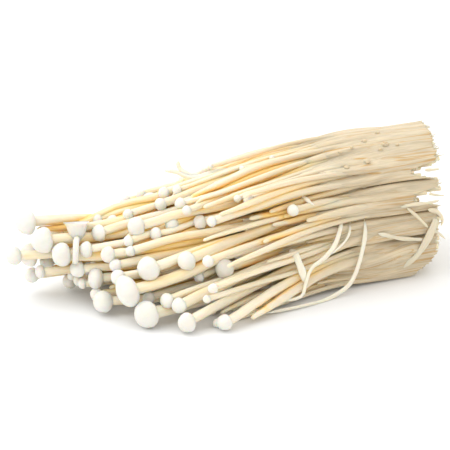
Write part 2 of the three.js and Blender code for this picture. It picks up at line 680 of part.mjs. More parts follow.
const placed = placedMushrooms();
const filling = fillingMushrooms(placed);
const mushrooms = [...placed, ...filling, ...shortMushrooms([...placed, ...filling])];
mushrooms.forEach((mushroom, index) => mushroom.layOut(index));
settle(mushrooms);

// everything above the surface, which leaves small flats under the lowest stems
const aboveSurface = toSolid(new THREE.BoxGeometry(400, 400, 200).translate(0, 0, 100));

const membersOf = (name) => mushrooms.filter(({ clump }) => clump === name);
const grownStems = CLUMPS.map((name) => stemsSolid(name, mushrooms, GROWN));
const grownCores = CLUMPS.map((name) => coreSolid(membersOf(name), GROWN));

// A core gives way to the other clumps' stems and to earlier cores, and stems only to earlier clumps' stems.
function clumpSolid(name) {
  const order = CLUMPS.indexOf(name);
  const inTheWay = [...grownStems.filter((_, other) => other !== order), ...grownCores.slice(0, order)];
  const core = inTheWay.reduce((rest, other) => rest.subtract(other), coreSolid(membersOf(name), 0));
  const whole = stemsSolid(name, mushrooms).add(core).intersect(aboveSurface);
  return largestBody(grownStems.slice(0, order).reduce((rest, other) => rest.subtract(other), whole));
}

const bunch = new THREE.Group();
bunch.position.x = -FOOT_X;
for (const name of CLUMPS) {
  const material = new THREE.MeshStandardMaterial({ color: STEM_COLOUR, roughness: 0.55, metalness: 0 });
  const mesh = new THREE.Mesh(toGeometry(clumpSolid(name)), material);
  mesh.name = name;
  bunch.add(mesh);
}

export default bunch;
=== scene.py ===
"""Enoki mushroom bunch, dressed for looks.

The frame's six plain clumps are replaced with smooth stems, domed caps and a fibrous base on the same lines.
The lines are laid out in millimetres, with +X along the stems to the cut end and +Z up, and the meshes are
written in metres in the frame, whose origin is the flat spot under the base.
"""
from __future__ import annotations

import logging
import math
from collections.abc import Callable
from dataclasses import dataclass, field, fields
from enum import Enum

import bpy
import numpy as np
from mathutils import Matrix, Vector


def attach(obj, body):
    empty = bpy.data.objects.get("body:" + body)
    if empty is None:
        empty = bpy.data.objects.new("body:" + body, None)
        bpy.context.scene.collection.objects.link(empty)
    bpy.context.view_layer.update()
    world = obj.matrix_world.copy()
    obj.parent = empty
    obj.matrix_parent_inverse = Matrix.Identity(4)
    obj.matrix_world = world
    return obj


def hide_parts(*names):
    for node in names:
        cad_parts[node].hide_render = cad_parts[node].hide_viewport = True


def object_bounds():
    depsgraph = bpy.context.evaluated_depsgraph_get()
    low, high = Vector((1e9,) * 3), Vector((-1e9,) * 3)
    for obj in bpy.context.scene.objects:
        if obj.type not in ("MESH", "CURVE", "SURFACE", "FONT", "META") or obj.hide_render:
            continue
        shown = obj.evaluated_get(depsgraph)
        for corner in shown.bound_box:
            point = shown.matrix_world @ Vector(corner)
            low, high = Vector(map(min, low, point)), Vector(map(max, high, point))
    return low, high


logging.basicConfig(level=logging.INFO, format="%(message)s")
log = logging.getLogger("enoki")

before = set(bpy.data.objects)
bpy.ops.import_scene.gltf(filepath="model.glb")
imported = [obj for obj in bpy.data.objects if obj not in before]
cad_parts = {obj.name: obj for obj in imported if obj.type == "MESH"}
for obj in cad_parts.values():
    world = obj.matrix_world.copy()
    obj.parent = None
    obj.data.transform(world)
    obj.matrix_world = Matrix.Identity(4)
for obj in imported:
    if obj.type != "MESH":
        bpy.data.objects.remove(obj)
CAD_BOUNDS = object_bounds()

Array = np.ndarray
Pair = tuple[float, float]
Triple = tuple[float, float, float]
Colour = tuple[float, float, float, float]
Socket = bpy.types.NodeSocket

MM = 0.001
FOOT_X = 55.0  # where the frame's origin lies in the layout
SOLIDS_BOX = np.array(CAD_BOUNDS) / MM + [FOOT_X, 0, 0]
BODY = "root"
UP = np.array([0.0, 0.0, 1.0])


class Clump(Enum):
    """The clumps that the bunch has torn into, under their nodes' names."""

    TOP = "top_clump"
    MIDDLE = "middle_clump"
    LOWER = "lower_clump"
    BOTTOM = "bottom_clump"
    REAR_UPPER = "rear_upper_clump"
    REAR_LOWER = "rear_lower_clump"

    @property
    def number(self) -> int:
        """The number that stems name it by, which is its place in this list."""
        return list(Clump).index(self)


class Slot(Enum):
    """The record's material slots."""

    STEM = "stem_flesh"
    CAP = "cap_skin"
    BASE = "base_fibre"


# ---- small rules ----

def smooth(t: Array) -> Array:
    """A smooth step: 3t^2 - 2t^3, with t held between 0 and 1."""
    held = np.clip(t, 0.0, 1.0)
    return held * held * (3.0 - 2.0 * held)


def step_over(value: Array, start: float, end: float) -> Array:
    """A smooth step that is 0 where a value is at start and 1 where it is at end."""
    return smooth((value - start) / (end - start))


def mix(start: Array, end: Array, share: Array) -> Array:
    """The value that lies at a share of the way from start to end."""
    return start + (end - start) * share


def chance(index: Array, salt: float) -> Array:
    """A seeded draw from 0 to 1: the fraction of sin(12.9898 index + 78.233 salt) times 43758.5453."""
    value = np.sin(np.asarray(index, float) * 12.9898 + salt * 78.233) * 43758.5453
    return value - np.floor(value)


def turns(count: int) -> Array:
    """Evenly spaced angles once round, from 0."""
    return 2 * np.pi * np.arange(count) / count


def unit(vectors: Array) -> Array:
    """Directions, each one long."""
    return vectors / np.linalg.norm(vectors, axis=-1, keepdims=True)


def cubic(t: Array, start: Array, leaving: Array, end: Array,
          arriving: Array) -> Array:
    """The cubic with given values and slopes at t = 0 and t = 1.

    It is (2t^3 - 3t^2 + 1) start + (t^3 - 2t^2 + t) leaving + (3t^2 - 2t^3) end + (t^3 - t^2) arriving.

    Args:
        t: where to take it, from 0 to 1.
        start: its value at 0.
        leaving: its slope at 0.
        end: its value at 1.
        arriving: its slope at 1.

    Returns:
        The values at t.
    """
    return ((2 * t ** 3 - 3 * t ** 2 + 1) * start + (t ** 3 - 2 * t ** 2 + t) * leaving
            + (3 * t ** 2 - 2 * t ** 3) * end + (t ** 3 - t ** 2) * arriving)


def lengths(points: Array) -> Array:
    """The length along a line of points at each of them, from 0."""
    return np.concatenate([[0.0], np.cumsum(np.linalg.norm(np.diff(points, axis=0), axis=1))])


def smooth_path(points: Array, shares: Array) -> Array:
    """Points on cubics through the given ones, where the slope at a point is that between its neighbours.

    Args:
        points: the given points, (n, 3).
        shares: where to take points, as shares of the whole length.

    Returns:
        The points, (len(shares), 3).
    """
    at = lengths(points)
    slopes = np.gradient(points, at, axis=0)
    wanted = shares * at[-1]
    step = np.clip(np.searchsorted(at, wanted, side="right") - 1, 0, len(at) - 2)
    span = (at[step + 1] - at[step])[:, None]
    t = (wanted - at[step])[:, None] / span
    return cubic(t, points[step], span * slopes[step], points[step + 1], span * slopes[step + 1])


# ---- the bunch's outline and its mushrooms' lines ----

@dataclass(frozen=True)
class Outline:
    """The outline of the whole bunch: each row holds x, then its middle and half size in y, and in z."""

    rows: tuple[tuple[float, ...], ...] = (
        (-62, 5, 16, 13.0, 11.5),
        (-44, 4, 22, 12.4, 11.8),
        (-32, 3, 28, 12.8, 12.6),
        (-20, 1, 33, 14.2, 14.2),
        (-8, 1, 33, 16.2, 16.2),
        (4, 3, 29, 17.6, 17.6),
        (18, 5, 25, 19.0, 19.0),
        (34, 6, 21, 19.8, 19.8),
        (50, 6, 20, 20.0, 20.0),
        (66, 6, 19, 20.0, 19.8),
    )
    corner_rounding: float = 0.85  # at the base the corners are rounded, where 0 is square
    underside_rounding: float = 0.17
    rounded_x: Pair = (0.0, 45.0)  # where the rounding sets in, and is full

    def at(self, x: Array) -> Array:
        """The middle and half size in y and in z at x, on cubics through the rows.

        The slope at a row is that between its neighbours.

        Args:
            x: any array of places along the bunch.

        Returns:
            An array with a last axis of four: y, half y, z, half z.
        """
        rows = np.array(self.rows, float)
        last = len(rows) - 1
        held = np.clip(np.asarray(x, float), rows[0, 0], rows[last, 0])
        after = np.clip(np.searchsorted(rows[:, 0], held, side="left"), 1, last)
        before, start, end, beyond = (rows[np.clip(after + k, 0, last)] for k in (-2, -1, 0, 1))
        step = end[..., :1] - start[..., :1]
        t = (held[..., None] - start[..., :1]) / step
        slope_start = (end - before) / (end[..., :1] - before[..., :1]) * step
        slope_end = (beyond - start) / (beyond[..., :1] - start[..., :1]) * step
        return cubic(t, start, slope_start, end, slope_end)[..., 1:]

    def place_at(self, a: Array, b: Array, x: Array) -> Array:
        """The y, z of a place in the outline.

        Across it is the middle plus half y times a times the root of 1 - rounding b^2 / 2, and up likewise.

        Args:
            a: the place across it, from -1 to 1.
            b: the place up it, from -1 to 1.
            x: where along the bunch.

        Returns:
            An array with a last axis of two: y, z.
        """
        y, half_y, z, half_z = np.moveaxis(self.at(x), -1, 0)
        rounded = step_over(x, *self.rounded_x)
        rounding = rounded * np.where(b > 0, self.corner_rounding, self.underside_rounding)
        return np.stack([
            y + half_y * a * np.sqrt(1 - rounding * b * b / 2),
            z + half_z * b * np.sqrt(1 - rounding * a * a / 2),
        ], axis=-1)

    def place_of(self, point: Array) -> Array:
        """The place a, b that points have in the outline's box at their own x."""
        y, half_y, z, half_z = np.moveaxis(self.at(point[..., 0]), -1, 0)
        return np.stack([(point[..., 1] - y) / half_y, (point[..., 2] - z) / half_z], axis=-1)


@dataclass
class Lines:
    """The lines of a group of stems as arrays, one row for each stem and one column for each station."""

    tip: Array
    diameter: Array
    height: Array
    stem: Array
    root: Array
    weight: Array
    index: Array
    place: Array = field(init=False)
    clump: Array = field(init=False)
    line: Array = field(init=False)
    home: Array = field(init=False)
    radius: Array = field(init=False)
    live: Array = field(init=False)

    @property
    def cap_radius(self) -> Array:
        """Half the cap's diameter, or half the stem's where that is more."""
        return np.maximum(self.diameter, self.stem) / 2

    @classmethod
    def of(cls, value_of: Callable[[str], Array]) -> Lines:
        """A group whose arrays are what a rule gives for their names.

        Args:
            value_of: the rule.

        Returns:
            The group.
        """
        made = cls.__new__(cls)
        for item in fields(cls):
            setattr(made, item.name, value_of(item.name))
        return made

    @classmethod
    def joined(cls, groups: list[Lines]) -> Lines:
        """Groups of stems as one."""
        return cls.of(lambda name: np.concatenate([getattr(group, name) for group in groups]))

    def members(self, clump: Clump) -> Lines:
        """The stems of one clump."""
        return self.of(lambda name: getattr(self, name)[self.clump == clump.number])


@dataclass(frozen=True)
class Growth:
    """Lays the mushrooms out: those with their own place, those that fill up, and short ones at the base."""

    outline: Outline = Outline()
    root_x: float = 66.0
    first_station_x: float = 70.0
    station_step: float = 4.0
    stations: int = 34
    bend_x: float = 32.0  # stems lie side by side beyond this x, and spread before it
    bend_softness: float = 9.0
    bend_length: float = 24.0  # a short stem starts to spread this far behind its cap
    straight_from_x: float = -50.0
    straight_blend: float = 22.0
    wander: float = 1.3
    wander_length: Pair = (55.0, 100.0)
    root_share: float = 0.28  # the radius at the root, as a share of the diameter
    tip_share: float = 0.5
    thick_by: float = 1.15  # a stem is at its thickest by one over this of its length
    end_behind: float = 1.5  # how far behind the tip a stem's last station is, at least
    fill_columns: int = 11
    fill_rows: int = 7
    fill_shake: Pair = (0.15, 0.7)  # where in its cell one stands: the least, and how much more
    fill_spread: float = 0.97
    fill_round: Pair = (2.5, 0.95)  # the power and reach of the rounded outline that is filled
    fill_clear: float = 0.17
    fill_x: Triple = (-58.0, 38.0, 1.5)  # a cap in the middle, how much further back by the reach, its power
    fill_reach: Triple = (0.1, 0.8, 1.15)  # that reach: a in the middle, the weight of b, and the most
    fill_stray: Pair = (14.0, 0.3)  # how far caps stray along x, and which share of it to the front
    fill_cap: Pair = (2.8, 7.0)
    fill_cap_power: float = 1.6  # small caps are more common than large ones
    fill_height: Pair = (0.68, 0.2)  # a cap's height against its diameter: the least, and how much more
    fill_stem: Pair = (1.7, 0.16)  # the stem's diameter, and how much more for the cap's
    fill_shown_cap: float = 4.0  # the largest diameter on top and in front
    fill_shown: Pair = (-0.1, 0.45)  # where the front and the top begin
    fill_top_sink: Pair = (1.5, 0.6)  # how much lower the highest are set, and more for the cap
    fill_border: float = 0.8  # the clear space between a root and the border of the rear clumps
    front: Triple = (-0.12, 0.9, 0.53)  # a, b and slope of the bunch's leaning front
    short_stems: int = 40
    short_clear: float = 1.9
    short_in: float = 0.12  # how far in from the outline a root may be
    short_tip_in: Pair = (0.8, 0.93)  # how far out their tips are on top, and elsewhere
    short_tip_x: Pair = (4.0, 24.0)
    short_stem: Pair = (1.8, 2.2)
    top_b: float = 0.4  # where the top begins for short and thin stems
    placed_weight: float = 0.15
    top_roots_z: float = 29.0
    middle_roots_z: float = 20.0
    lower_roots_z: float = 13.5
    rear_roots_y: float = 7.5
    rear_upper_roots_z: float = 14.0
    parting: float = 0.7  # how far the roots of two front clumps are pushed apart
    parting_reach: float = 3.0

    # The cap's centre x, y, z, its diameter and height, the stem's diameter, and the root's y, z where the
    # stem doesn't come straight from behind.
    placed: tuple[tuple[float, ...], ...] = (
        # the longest, at the far end
        (-61.0, 5.0, 14.0, 5.4, 4.5, 2.6),
        (-56.5, 8.0, 22.5, 7.6, 5.2, 3.0, 9, 15),
        (-56.0, 8.0, 12.5, 7.2, 5.0, 2.8),
        (-55.0, 10.0, 5.5, 4.4, 4.0, 2.6),
        (-53.0, 2.0, 18.5, 7.5, 6.0, 3.0),
        (-48.5, -2.0, 15.5, 6.6, 5.0, 2.8),
        (-44.5, 8.0, 3.0, 4.4, 3.8, 2.4),
        (-44.5, -3.0, 11.0, 4.8, 3.8, 2.4),
        (-44.0, 0.0, 15.5, 6.0, 3.0, 2.4),
        (-42.0, 4.0, 20.0, 6.6, 5.0, 2.8),
        (-42.0, -4.0, 16.5, 4.6, 3.4, 2.4),
        # the front of the bunch, left
        (-40.0, -3.0, 11.5, 2.8, 2.4, 1.8),
        (-40.0, -6.0, 8.5, 5.8, 4.0, 2.6),
        (-40.0, -7.0, 4.5, 4.0, 3.5, 2.2),
        (-39.5, -12.0, 4.0, 6.2, 5.0, 2.6),
        (-37.5, 0.0, 19.5, 4.9, 3.4, 2.4),
        (-37.0, -9.0, 16.5, 4.6, 3.6, 2.4, -6, 25),
        (-36.0, 7.0, 21.0, 3.8, 3.0, 2.2),
        (-35.5, -11.0, 14.0, 3.6, 3.2, 2.2),
        (-35.5, -14.0, 11.5, 4.4, 3.8, 2.4, -9, 22),
        (-34.5, -20.0, 9.5, 8.8, 5.6, 3.3, -10, 20.5),
        (-32.5, -5.0, 16.5, 3.6, 2.6, 2.0),
        (-32.0, 5.0, 21.0, 3.5, 3.0, 2.2),
        (-31.0, -8.5, 19.5, 3.2, 2.6, 2.0),
        (-31.0, -10.5, 17.5, 3.0, 2.6, 2.4, -8, 26.5),
        (-30.5, -24.5, 4.0, 7.4, 6.0, 3.2, -9, 9),
        (-28.5, 1.0, 24.0, 3.0, 2.8, 2.0),
        (-28.0, -6.0, 22.5, 5.6, 4.6, 2.6, -9, 29),
        (-28.0, -18.0, 14.5, 6.6, 5.6, 3.0, -9.5, 24),
        (-28.0, -18.0, 6.0, 3.4, 3.0, 2.2),
        (-27.5, 14.0, 21.5, 3.0, 2.6, 2.0),
        (-24.5, 10.0, 23.5, 4.0, 3.6, 2.2),
        (-24.5, -24.0, 7.0, 4.3, 3.2, 2.2, -10, 14),
        # the front of the bunch, right
        (-23.0, -8.0, 20.5, 4.1, 3.0, 2.2, -8, 30),
        (-22.0, -27.0, 6.5, 4.2, 3.8, 2.8, -12, 18),
        (-21.0, -31.0, 3.0, 5.8, 4.6, 2.8, -11, 15),
        (-20.0, 9.0, 25.0, 3.8, 3.6, 2.2),
        (-19.0, 1.0, 26.0, 3.8, 3.0, 2.4),
        (-18.0, -7.0, 22.5, 4.1, 3.6, 2.4, -7, 33),
        (-17.5, -19.0, 16.0, 5.2, 4.4, 3.0, -9, 26),
        (-16.5, 6.0, 27.5, 3.5, 3.0, 2.4),
        (-16.5, -10.0, 19.0, 2.4, 2.0, 1.8),
        (-13.5, -3.0, 24.0, 2.8, 2.4, 2.0),
        (-13.5, -18.0, 10.5, 3.0, 2.6, 2.0, -8, 18),
        (-11.0, -33.5, 2.6, 4.6, 3.8, 2.6, -12, 12.5),
        (-10.5, -9.0, 23.0, 4.1, 3.3, 2.4, -8, 31.5),
        (-10.0, -9.5, 20.0, 2.6, 2.4, 1.8, -9.5, 29),
        (-6.5, -19.0, 12.5, 6.0, 4.6, 2.6, -8, 17),
        (-6.0, -20.0, 8.0, 3.0, 2.6, 2.0, -9, 15),
        (-1.5, -16.0, 14.0, 2.5, 2.2, 2.2, -10, 19),
        # stunted ones on top, and one whose cap has broken off
        (-2.0, 8.0, 33.5, 1.8, 1.6, 1.4),
        (-1.0, -7.0, 26.0, 2.3, 2.0, 1.8, -6.5, 34),
        (6.0, 3.0, 33.5, 1.6, 1.4, 1.2),
        (15.5, 4.0, 35.5, 1.6, 1.4, 1.2),
        (-2.5, -31.0, 2.0, 0.0, 0.0, 2.8, -13, 10),
    )

    def station_x(self) -> Array:
        """The x of each station, from the cut end to the caps."""
        return self.first_station_x - self.station_step * np.arange(self.stations)

    def clump_of(self, root: Array) -> Array:
        """The number of each root's clump.

        Args:
            root: their y, z, (n, 2).

        Returns:
            The numbers, (n,).
        """
        y, z = root[:, 0], root[:, 1]
        tests = (z > self.top_roots_z, (y > self.rear_roots_y) & (z > self.rear_upper_roots_z),
                 y > self.rear_roots_y, z > self.middle_roots_z, z > self.lower_roots_z)
        clumps = (Clump.TOP, Clump.REAR_UPPER, Clump.REAR_LOWER, Clump.MIDDLE, Clump.LOWER)
        return np.select(tests, [clump.number for clump in clumps], Clump.BOTTOM.number)

    def mushrooms(self) -> Lines:
        """Lays out every mushroom on its own line.

        Returns:
            The mushrooms: the placed ones, the filling and the short ones.
        """
        rows = [(*row[:6], row[6:] or None, self.placed_weight) for row in self.placed]
        tips = [row[:3] for row in rows]
        taken = [self.outline.place_of(np.array(tip, float)) for tip in tips]
        rows += self.filling(taken)
        roots = [self.root_of(row[:3]) if row[6] is None else np.array(row[6], float) for row in rows]
        roots = [self.parted(root) for root in roots]
        short = self.short(list(roots))
        roots += [self.parted(row[6]) for row in short]
        return self.laid_out(rows + short, roots)

    def parted(self, root: Array) -> Array:
        """A root's place once the front clumps part: each border pushes it by exp(-distance / reach).

        Args:
            root: its y, z.

        Returns:
            Its new y, z.
        """
        y, z = root
        if y > self.rear_roots_y:
            return root
        away = z - np.array([self.top_roots_z, self.middle_roots_z, self.lower_roots_z])
        push = np.where(away > 0, 1, -1) * np.exp(-np.abs(away) / self.parting_reach)
        return np.array([y, z + self.parting * push.sum()])

    def root_of(self, tip: Triple) -> Array:
        """The root's y, z of a stem that comes straight from behind its cap."""
        a, b = self.outline.place_of(np.array(tip, float))
        return self.outline.place_at(a, b, np.array(self.root_x))

    def filling(self, taken: list[Array]) -> list[tuple]:
        """Mushrooms that fill the outline between the placed ones: one to a cell of a shaken grid.

        Args:
            taken: the places a, b of the placed ones.

        Returns:
            Their rows, as laid_out takes them.
        """
        rows = []
        least, more = self.fill_shake
        power, most = self.fill_round
        middle_x, back, bend = self.fill_x
        middle_a, weight, furthest = self.fill_reach
        stray, forward = self.fill_stray
        front_a, front_b, slope = self.front
        for cell in range(self.fill_columns * self.fill_rows):
            column = cell % self.fill_columns + least + more * chance(cell, 1)
            row = cell // self.fill_columns + least + more * chance(cell, 2)
            a = (column / self.fill_columns * 2 - 1) * self.fill_spread
            b = (row / self.fill_rows * 2 - 1) * self.fill_spread
            rounded = abs(a) ** power + max(b, 0) ** power < most
            behind_front = a > front_a - slope * (front_b - b)
            free = all(math.hypot(other[0] - a, other[1] - b) > self.fill_clear for other in taken)
            root = self.outline.place_at(a, b, np.array(self.root_x))
            at_border = abs(root[0] - self.rear_roots_y) < self.fill_border
            if at_border or not (rounded and behind_front and free):
                continue
            reach = min(math.sqrt((a - middle_a) ** 2 + weight * b ** 2), furthest)
            x = middle_x + back * reach ** bend + stray * (chance(cell, 3) - forward)
            middle_y, half_y, middle_z, half_z = self.outline.at(np.array(x))
            shown = a < self.fill_shown[0] or b > self.fill_shown[1]
            largest = self.fill_shown_cap if shown else self.fill_cap[1]
            diameter = mix(self.fill_cap[0], largest, chance(cell, 4) ** self.fill_cap_power)
            y = middle_y + a * half_y - np.sign(a) * a ** 2 * diameter / 2
            sink = max(b, 0) ** 2 * (diameter * self.fill_top_sink[1] + self.fill_top_sink[0])
            z = max(middle_z + b * half_z - sink, diameter / 2)
            height = diameter * (self.fill_height[0] + self.fill_height[1] * chance(cell, 5))
            stem = self.fill_stem[0] + self.fill_stem[1] * diameter
            rows.append((x, y, z, diameter, height, stem, root, 1.0))
        return rows

    def short(self, roots: list[Array]) -> list[tuple]:
        """Short thin stems with no cap round the sides and the underside of the base, where it has room.

        Args:
            roots: the roots that they keep clear of, to which theirs are added.

        Returns:
            Their rows, as laid_out takes them.
        """
        rows = []
        for place in range(self.short_stems):
            turn = 2 * math.pi * (place + 0.5 * chance(place, 11)) / self.short_stems
            reach = (1 - self.short_in * chance(place, 12)) / max(abs(math.cos(turn)), abs(math.sin(turn)))
            a, b = math.cos(turn) * reach, math.sin(turn) * reach
            root = self.outline.place_at(a, b, np.array(self.root_x))
            if any(math.dist(other, root) <= self.short_clear for other in roots):
                continue
            roots.append(root)
            on_top, elsewhere = self.short_tip_in
            inward = (on_top if b > self.top_b else elsewhere) / max(1.0, math.hypot(a, b))
            x = mix(*self.short_tip_x, chance(place, 13))
            y, z = self.outline.place_at(a * inward, b * inward, np.array(x))
            rows.append((x, y, z, 0.0, 0.0, mix(*self.short_stem, chance(place, 14)), root, 1.0))
        return rows

    def laid_out(self, rows: list[tuple], roots: list[Array], first_index: int = 0) -> Lines:
        """Lays stems out on the stations, from the cut end to the last station behind the cap.

        A stem whose cap is at the far end follows the outline, at its cap's place in it. Others run straight
        from root to tip by the share spread(x) = softplus((bend - x) / softness), scaled to 0 at the root and
        1 at the tip, so they are parallel in the base and fan out before it. Each strays by a sine of x.

        Args:
            rows: tip x, y, z, cap diameter and height, stem diameter, a root or None, and weight of each.
            roots: the root's y, z, for each stem.
            first_index: the number that the first stem's draws are made with.

        Returns:
            The lines, before they settle.
        """
        columns = [np.array([row[k] for row in rows], float) for k in (3, 4, 5, 7)]
        tip = np.array([row[:3] for row in rows], float)
        index = np.arange(first_index, first_index + len(rows))
        lines = Lines(tip, *columns[:3], np.array(roots, float), columns[3], index)
        x = self.station_x()[None, :]
        tip_x, tip_yz = tip[:, :1], tip[:, None, 1:]
        a, b = (value[:, None] for value in self.outline.place_of(tip).T)
        straight = smooth((tip_x - self.straight_from_x) / self.straight_blend)[:, :, None]
        bend = np.maximum(self.bend_x, tip_x + self.bend_length)

        def spread(at: Array) -> Array:
            """How far stems have spread at an x, where 1 is as far as at their tips."""
            return (np.logaddexp(0, (bend - at) / self.bend_softness)
                    / np.logaddexp(0, (bend - tip_x) / self.bend_softness))

        along = np.clip((self.root_x - x) / (self.root_x - tip_x), 0, 1)
        root_spread = spread(np.array([[self.root_x]]))
        share = ((spread(x) - root_spread) / (1 - root_spread))[:, :, None]
        straight_line = mix(lines.root[:, None, :], tip_yz, share)
        root_shift = lines.root - self.outline.place_at(a[:, 0], b[:, 0], np.array(self.root_x))
        back = step_over(x, tip_x, self.root_x)[:, :, None]
        flow_line = self.outline.place_at(a, b, np.broadcast_to(x, along.shape)) + root_shift[:, None] * back
        length = np.stack([mix(*self.wander_length, chance(index, salt)) for salt in (8, 9)], -1)[:, None, :]
        phase = np.stack([chance(index, salt) * 2 * np.pi for salt in (6, 7)], -1)[:, None, :]
        wave = np.sin(x[:, :, None] / length * 2 * np.pi + phase)
        lines.line = (mix(flow_line, straight_line, straight)
                      + self.wander * np.sin(np.pi * along)[:, :, None] * wave)
        lines.radius = (lines.stem[:, None]
                        * mix(self.root_share, self.tip_share, smooth(along * self.thick_by)))
        end_x = tip_x + np.maximum(lines.height * 0.5, self.end_behind)[:, None]
        lines.live = (x > end_x).sum(axis=1)
        lines.home = lines.line.copy()
        lines.place = tip.copy()
        lines.clump = self.clump_of(lines.root)
        return lines


@dataclass(frozen=True)
class Settling:
    """Stems and caps that overlap push each other apart, step by step."""

    growth: Growth
    gap: float = 0.45  # clear space between two clumps
    steps: int = 90
    most_y: float = 99.0  # how far to the rear stems and caps may reach
    stem_from_stem: float = 0.35  # the share of an overlap by which a stem gives way to a stem, and so on
    stem_from_cap: float = 0.3
    cap_from_stem: float = 0.2
    cap_from_cap: float = 0.4
    cap_reach: float = 0.95  # how near two caps may come, against the sum of their radii
    homing: float = 0.06  # how far a line is drawn back to its own in a step
    smoothing: float = 0.25
    holding: float = 0.1  # how far a placed cap is drawn back to its place in a step
    cap_rest: float = 0.97  # the least height of a cap's middle, against its radius

    def settle(self, lines: Lines, fixed: Lines | None = None) -> None:
        """Moves the lines and tips until few of them overlap.

        Args:
            lines: the stems that move.
            fixed: stems that they also give way to, but that stay where they are.
        """
        for _ in range(self.steps):
            for part in (self.part_stems, self.part_caps_from_stems, self.part_caps):
                part(lines, lines if fixed is None else Lines.joined([lines, fixed]))
            self.ease(lines)

    def clear(self, lines: Lines, others: Lines) -> tuple[Array, Array]:
        """The clear space that each pair keeps, and whether the two are different stems."""
        space = np.where(lines.clump[:, None] == others.clump[None, :], 0.0, self.gap)
        return space, lines.index[:, None] != others.index[None, :]

    def part_stems(self, lines: Lines, others: Lines) -> None:
        """At each station, two stems that overlap each give way by a share of the overlap.

        Args:
            lines: the stems that move.
            others: these and the ones that stay.
        """
        clear, alone = self.clear(lines, others)
        live = np.minimum(lines.live[:, None], others.live[None, :])[:, :, None]
        away = lines.line[:, None] - others.line[None, :]
        distance = np.hypot(away[..., 0], away[..., 1]) + 1e-9
        overlap = lines.radius[:, None] + others.radius[None, :] + clear[:, :, None] - distance
        meets = (live > np.arange(self.growth.stations)) & alone[:, :, None] & (overlap > 0)
        share = np.where(meets, self.stem_from_stem * overlap / distance, 0.0)
        lines.line = lines.line + (away * share[..., None]).sum(axis=1)

    def cap_pushes(self, caps: Lines, stems: Lines) -> Array:
        """The way from each stem's middle to each cap's, by as much as the two overlap, at every station.

        Args:
            caps: the stems whose caps are meant, (n).
            stems: the stems themselves, (m).

        Returns:
            The ways in y and z, (n, m, stations, 2).
        """
        clear, alone = self.clear(caps, stems)
        along = self.growth.station_x() - caps.tip[:, :1]
        section = np.sqrt(np.maximum(0, caps.cap_radius[:, None] ** 2 - along ** 2))
        away = caps.tip[:, None, None, 1:] - stems.line[None]
        distance = np.hypot(away[..., 0], away[..., 1]) + 1e-9
        overlap = section[:, None] + stems.radius[None] + clear[:, :, None] - distance
        live = np.arange(self.growth.stations) < stems.live[:, None]
        meets = (section[:, None] > 0) & live[None] & alone[:, :, None] & (overlap > 0)
        return away * np.where(meets, overlap / distance, 0.0)[..., None]

    def part_caps_from_stems(self, lines: Lines, others: Lines) -> None:
        """A stem gives way to a cap by a share of the overlap, and the cap by one times its weight.

        Args:
            lines: the stems that move.
            others: these and the ones that stay.
        """
        push = self.cap_pushes(lines, others)
        extremes = np.maximum(push.max(axis=2), 0) + np.minimum(push.min(axis=2), 0)
        stem_push = self.cap_pushes(others, lines).sum(axis=0)
        lines.tip[:, 1:] += self.cap_from_stem * lines.weight[:, None] * extremes.sum(axis=1)
        lines.line = lines.line - self.stem_from_cap * stem_push

    def part_caps(self, lines: Lines, others: Lines) -> None:
        """Two caps that overlap each give way by a share of the overlap times their weight.

        Args:
            lines: the stems that move.
            others: these and the ones that stay.
        """
        clear, alone = self.clear(lines, others)
        away = lines.tip[:, None] - others.tip[None]
        distance = np.linalg.norm(away, axis=-1) + 1e-9
        overlap = (lines.cap_radius[:, None] + others.cap_radius[None]) * self.cap_reach + clear - distance
        way = self.cap_from_cap * lines.weight[:, None] * overlap / distance
        share = np.where(alone & (overlap > 0), way, 0.0)
        lines.tip = lines.tip + (away * share[..., None]).sum(axis=1)

    def ease(self, lines: Lines) -> None:
        """Each stem is drawn back to its own line, smoothed, led to its cap, and kept above the surface.

        Args:
            lines: the stems that move.
        """
        drawn = mix(lines.line, lines.home, self.homing)
        eased = drawn.copy()
        eased[:, 1:-1] = ((1 - 2 * self.smoothing) * drawn[:, 1:-1]
                          + self.smoothing * (drawn[:, :-2] + drawn[:, 2:]))
        dead = np.arange(self.growth.stations) >= lines.live[:, None]
        lines.line = np.where(dead[..., None], lines.tip[:, None, 1:], eased)
        lines.line[..., 1] = np.maximum(lines.line[..., 1], lines.radius)
        lines.line[..., 0] = np.minimum(lines.line[..., 0], self.most_y - lines.radius)
        lines.tip[:, 1] = np.minimum(lines.tip[:, 1], self.most_y - lines.cap_radius)
        lines.tip[:, 2] = np.maximum(lines.tip[:, 2], lines.cap_radius * self.cap_rest)
        held = (lines.weight < 1)[:, None]
        lines.tip = np.where(held, mix(lines.tip, lines.place, self.holding), lines.tip)


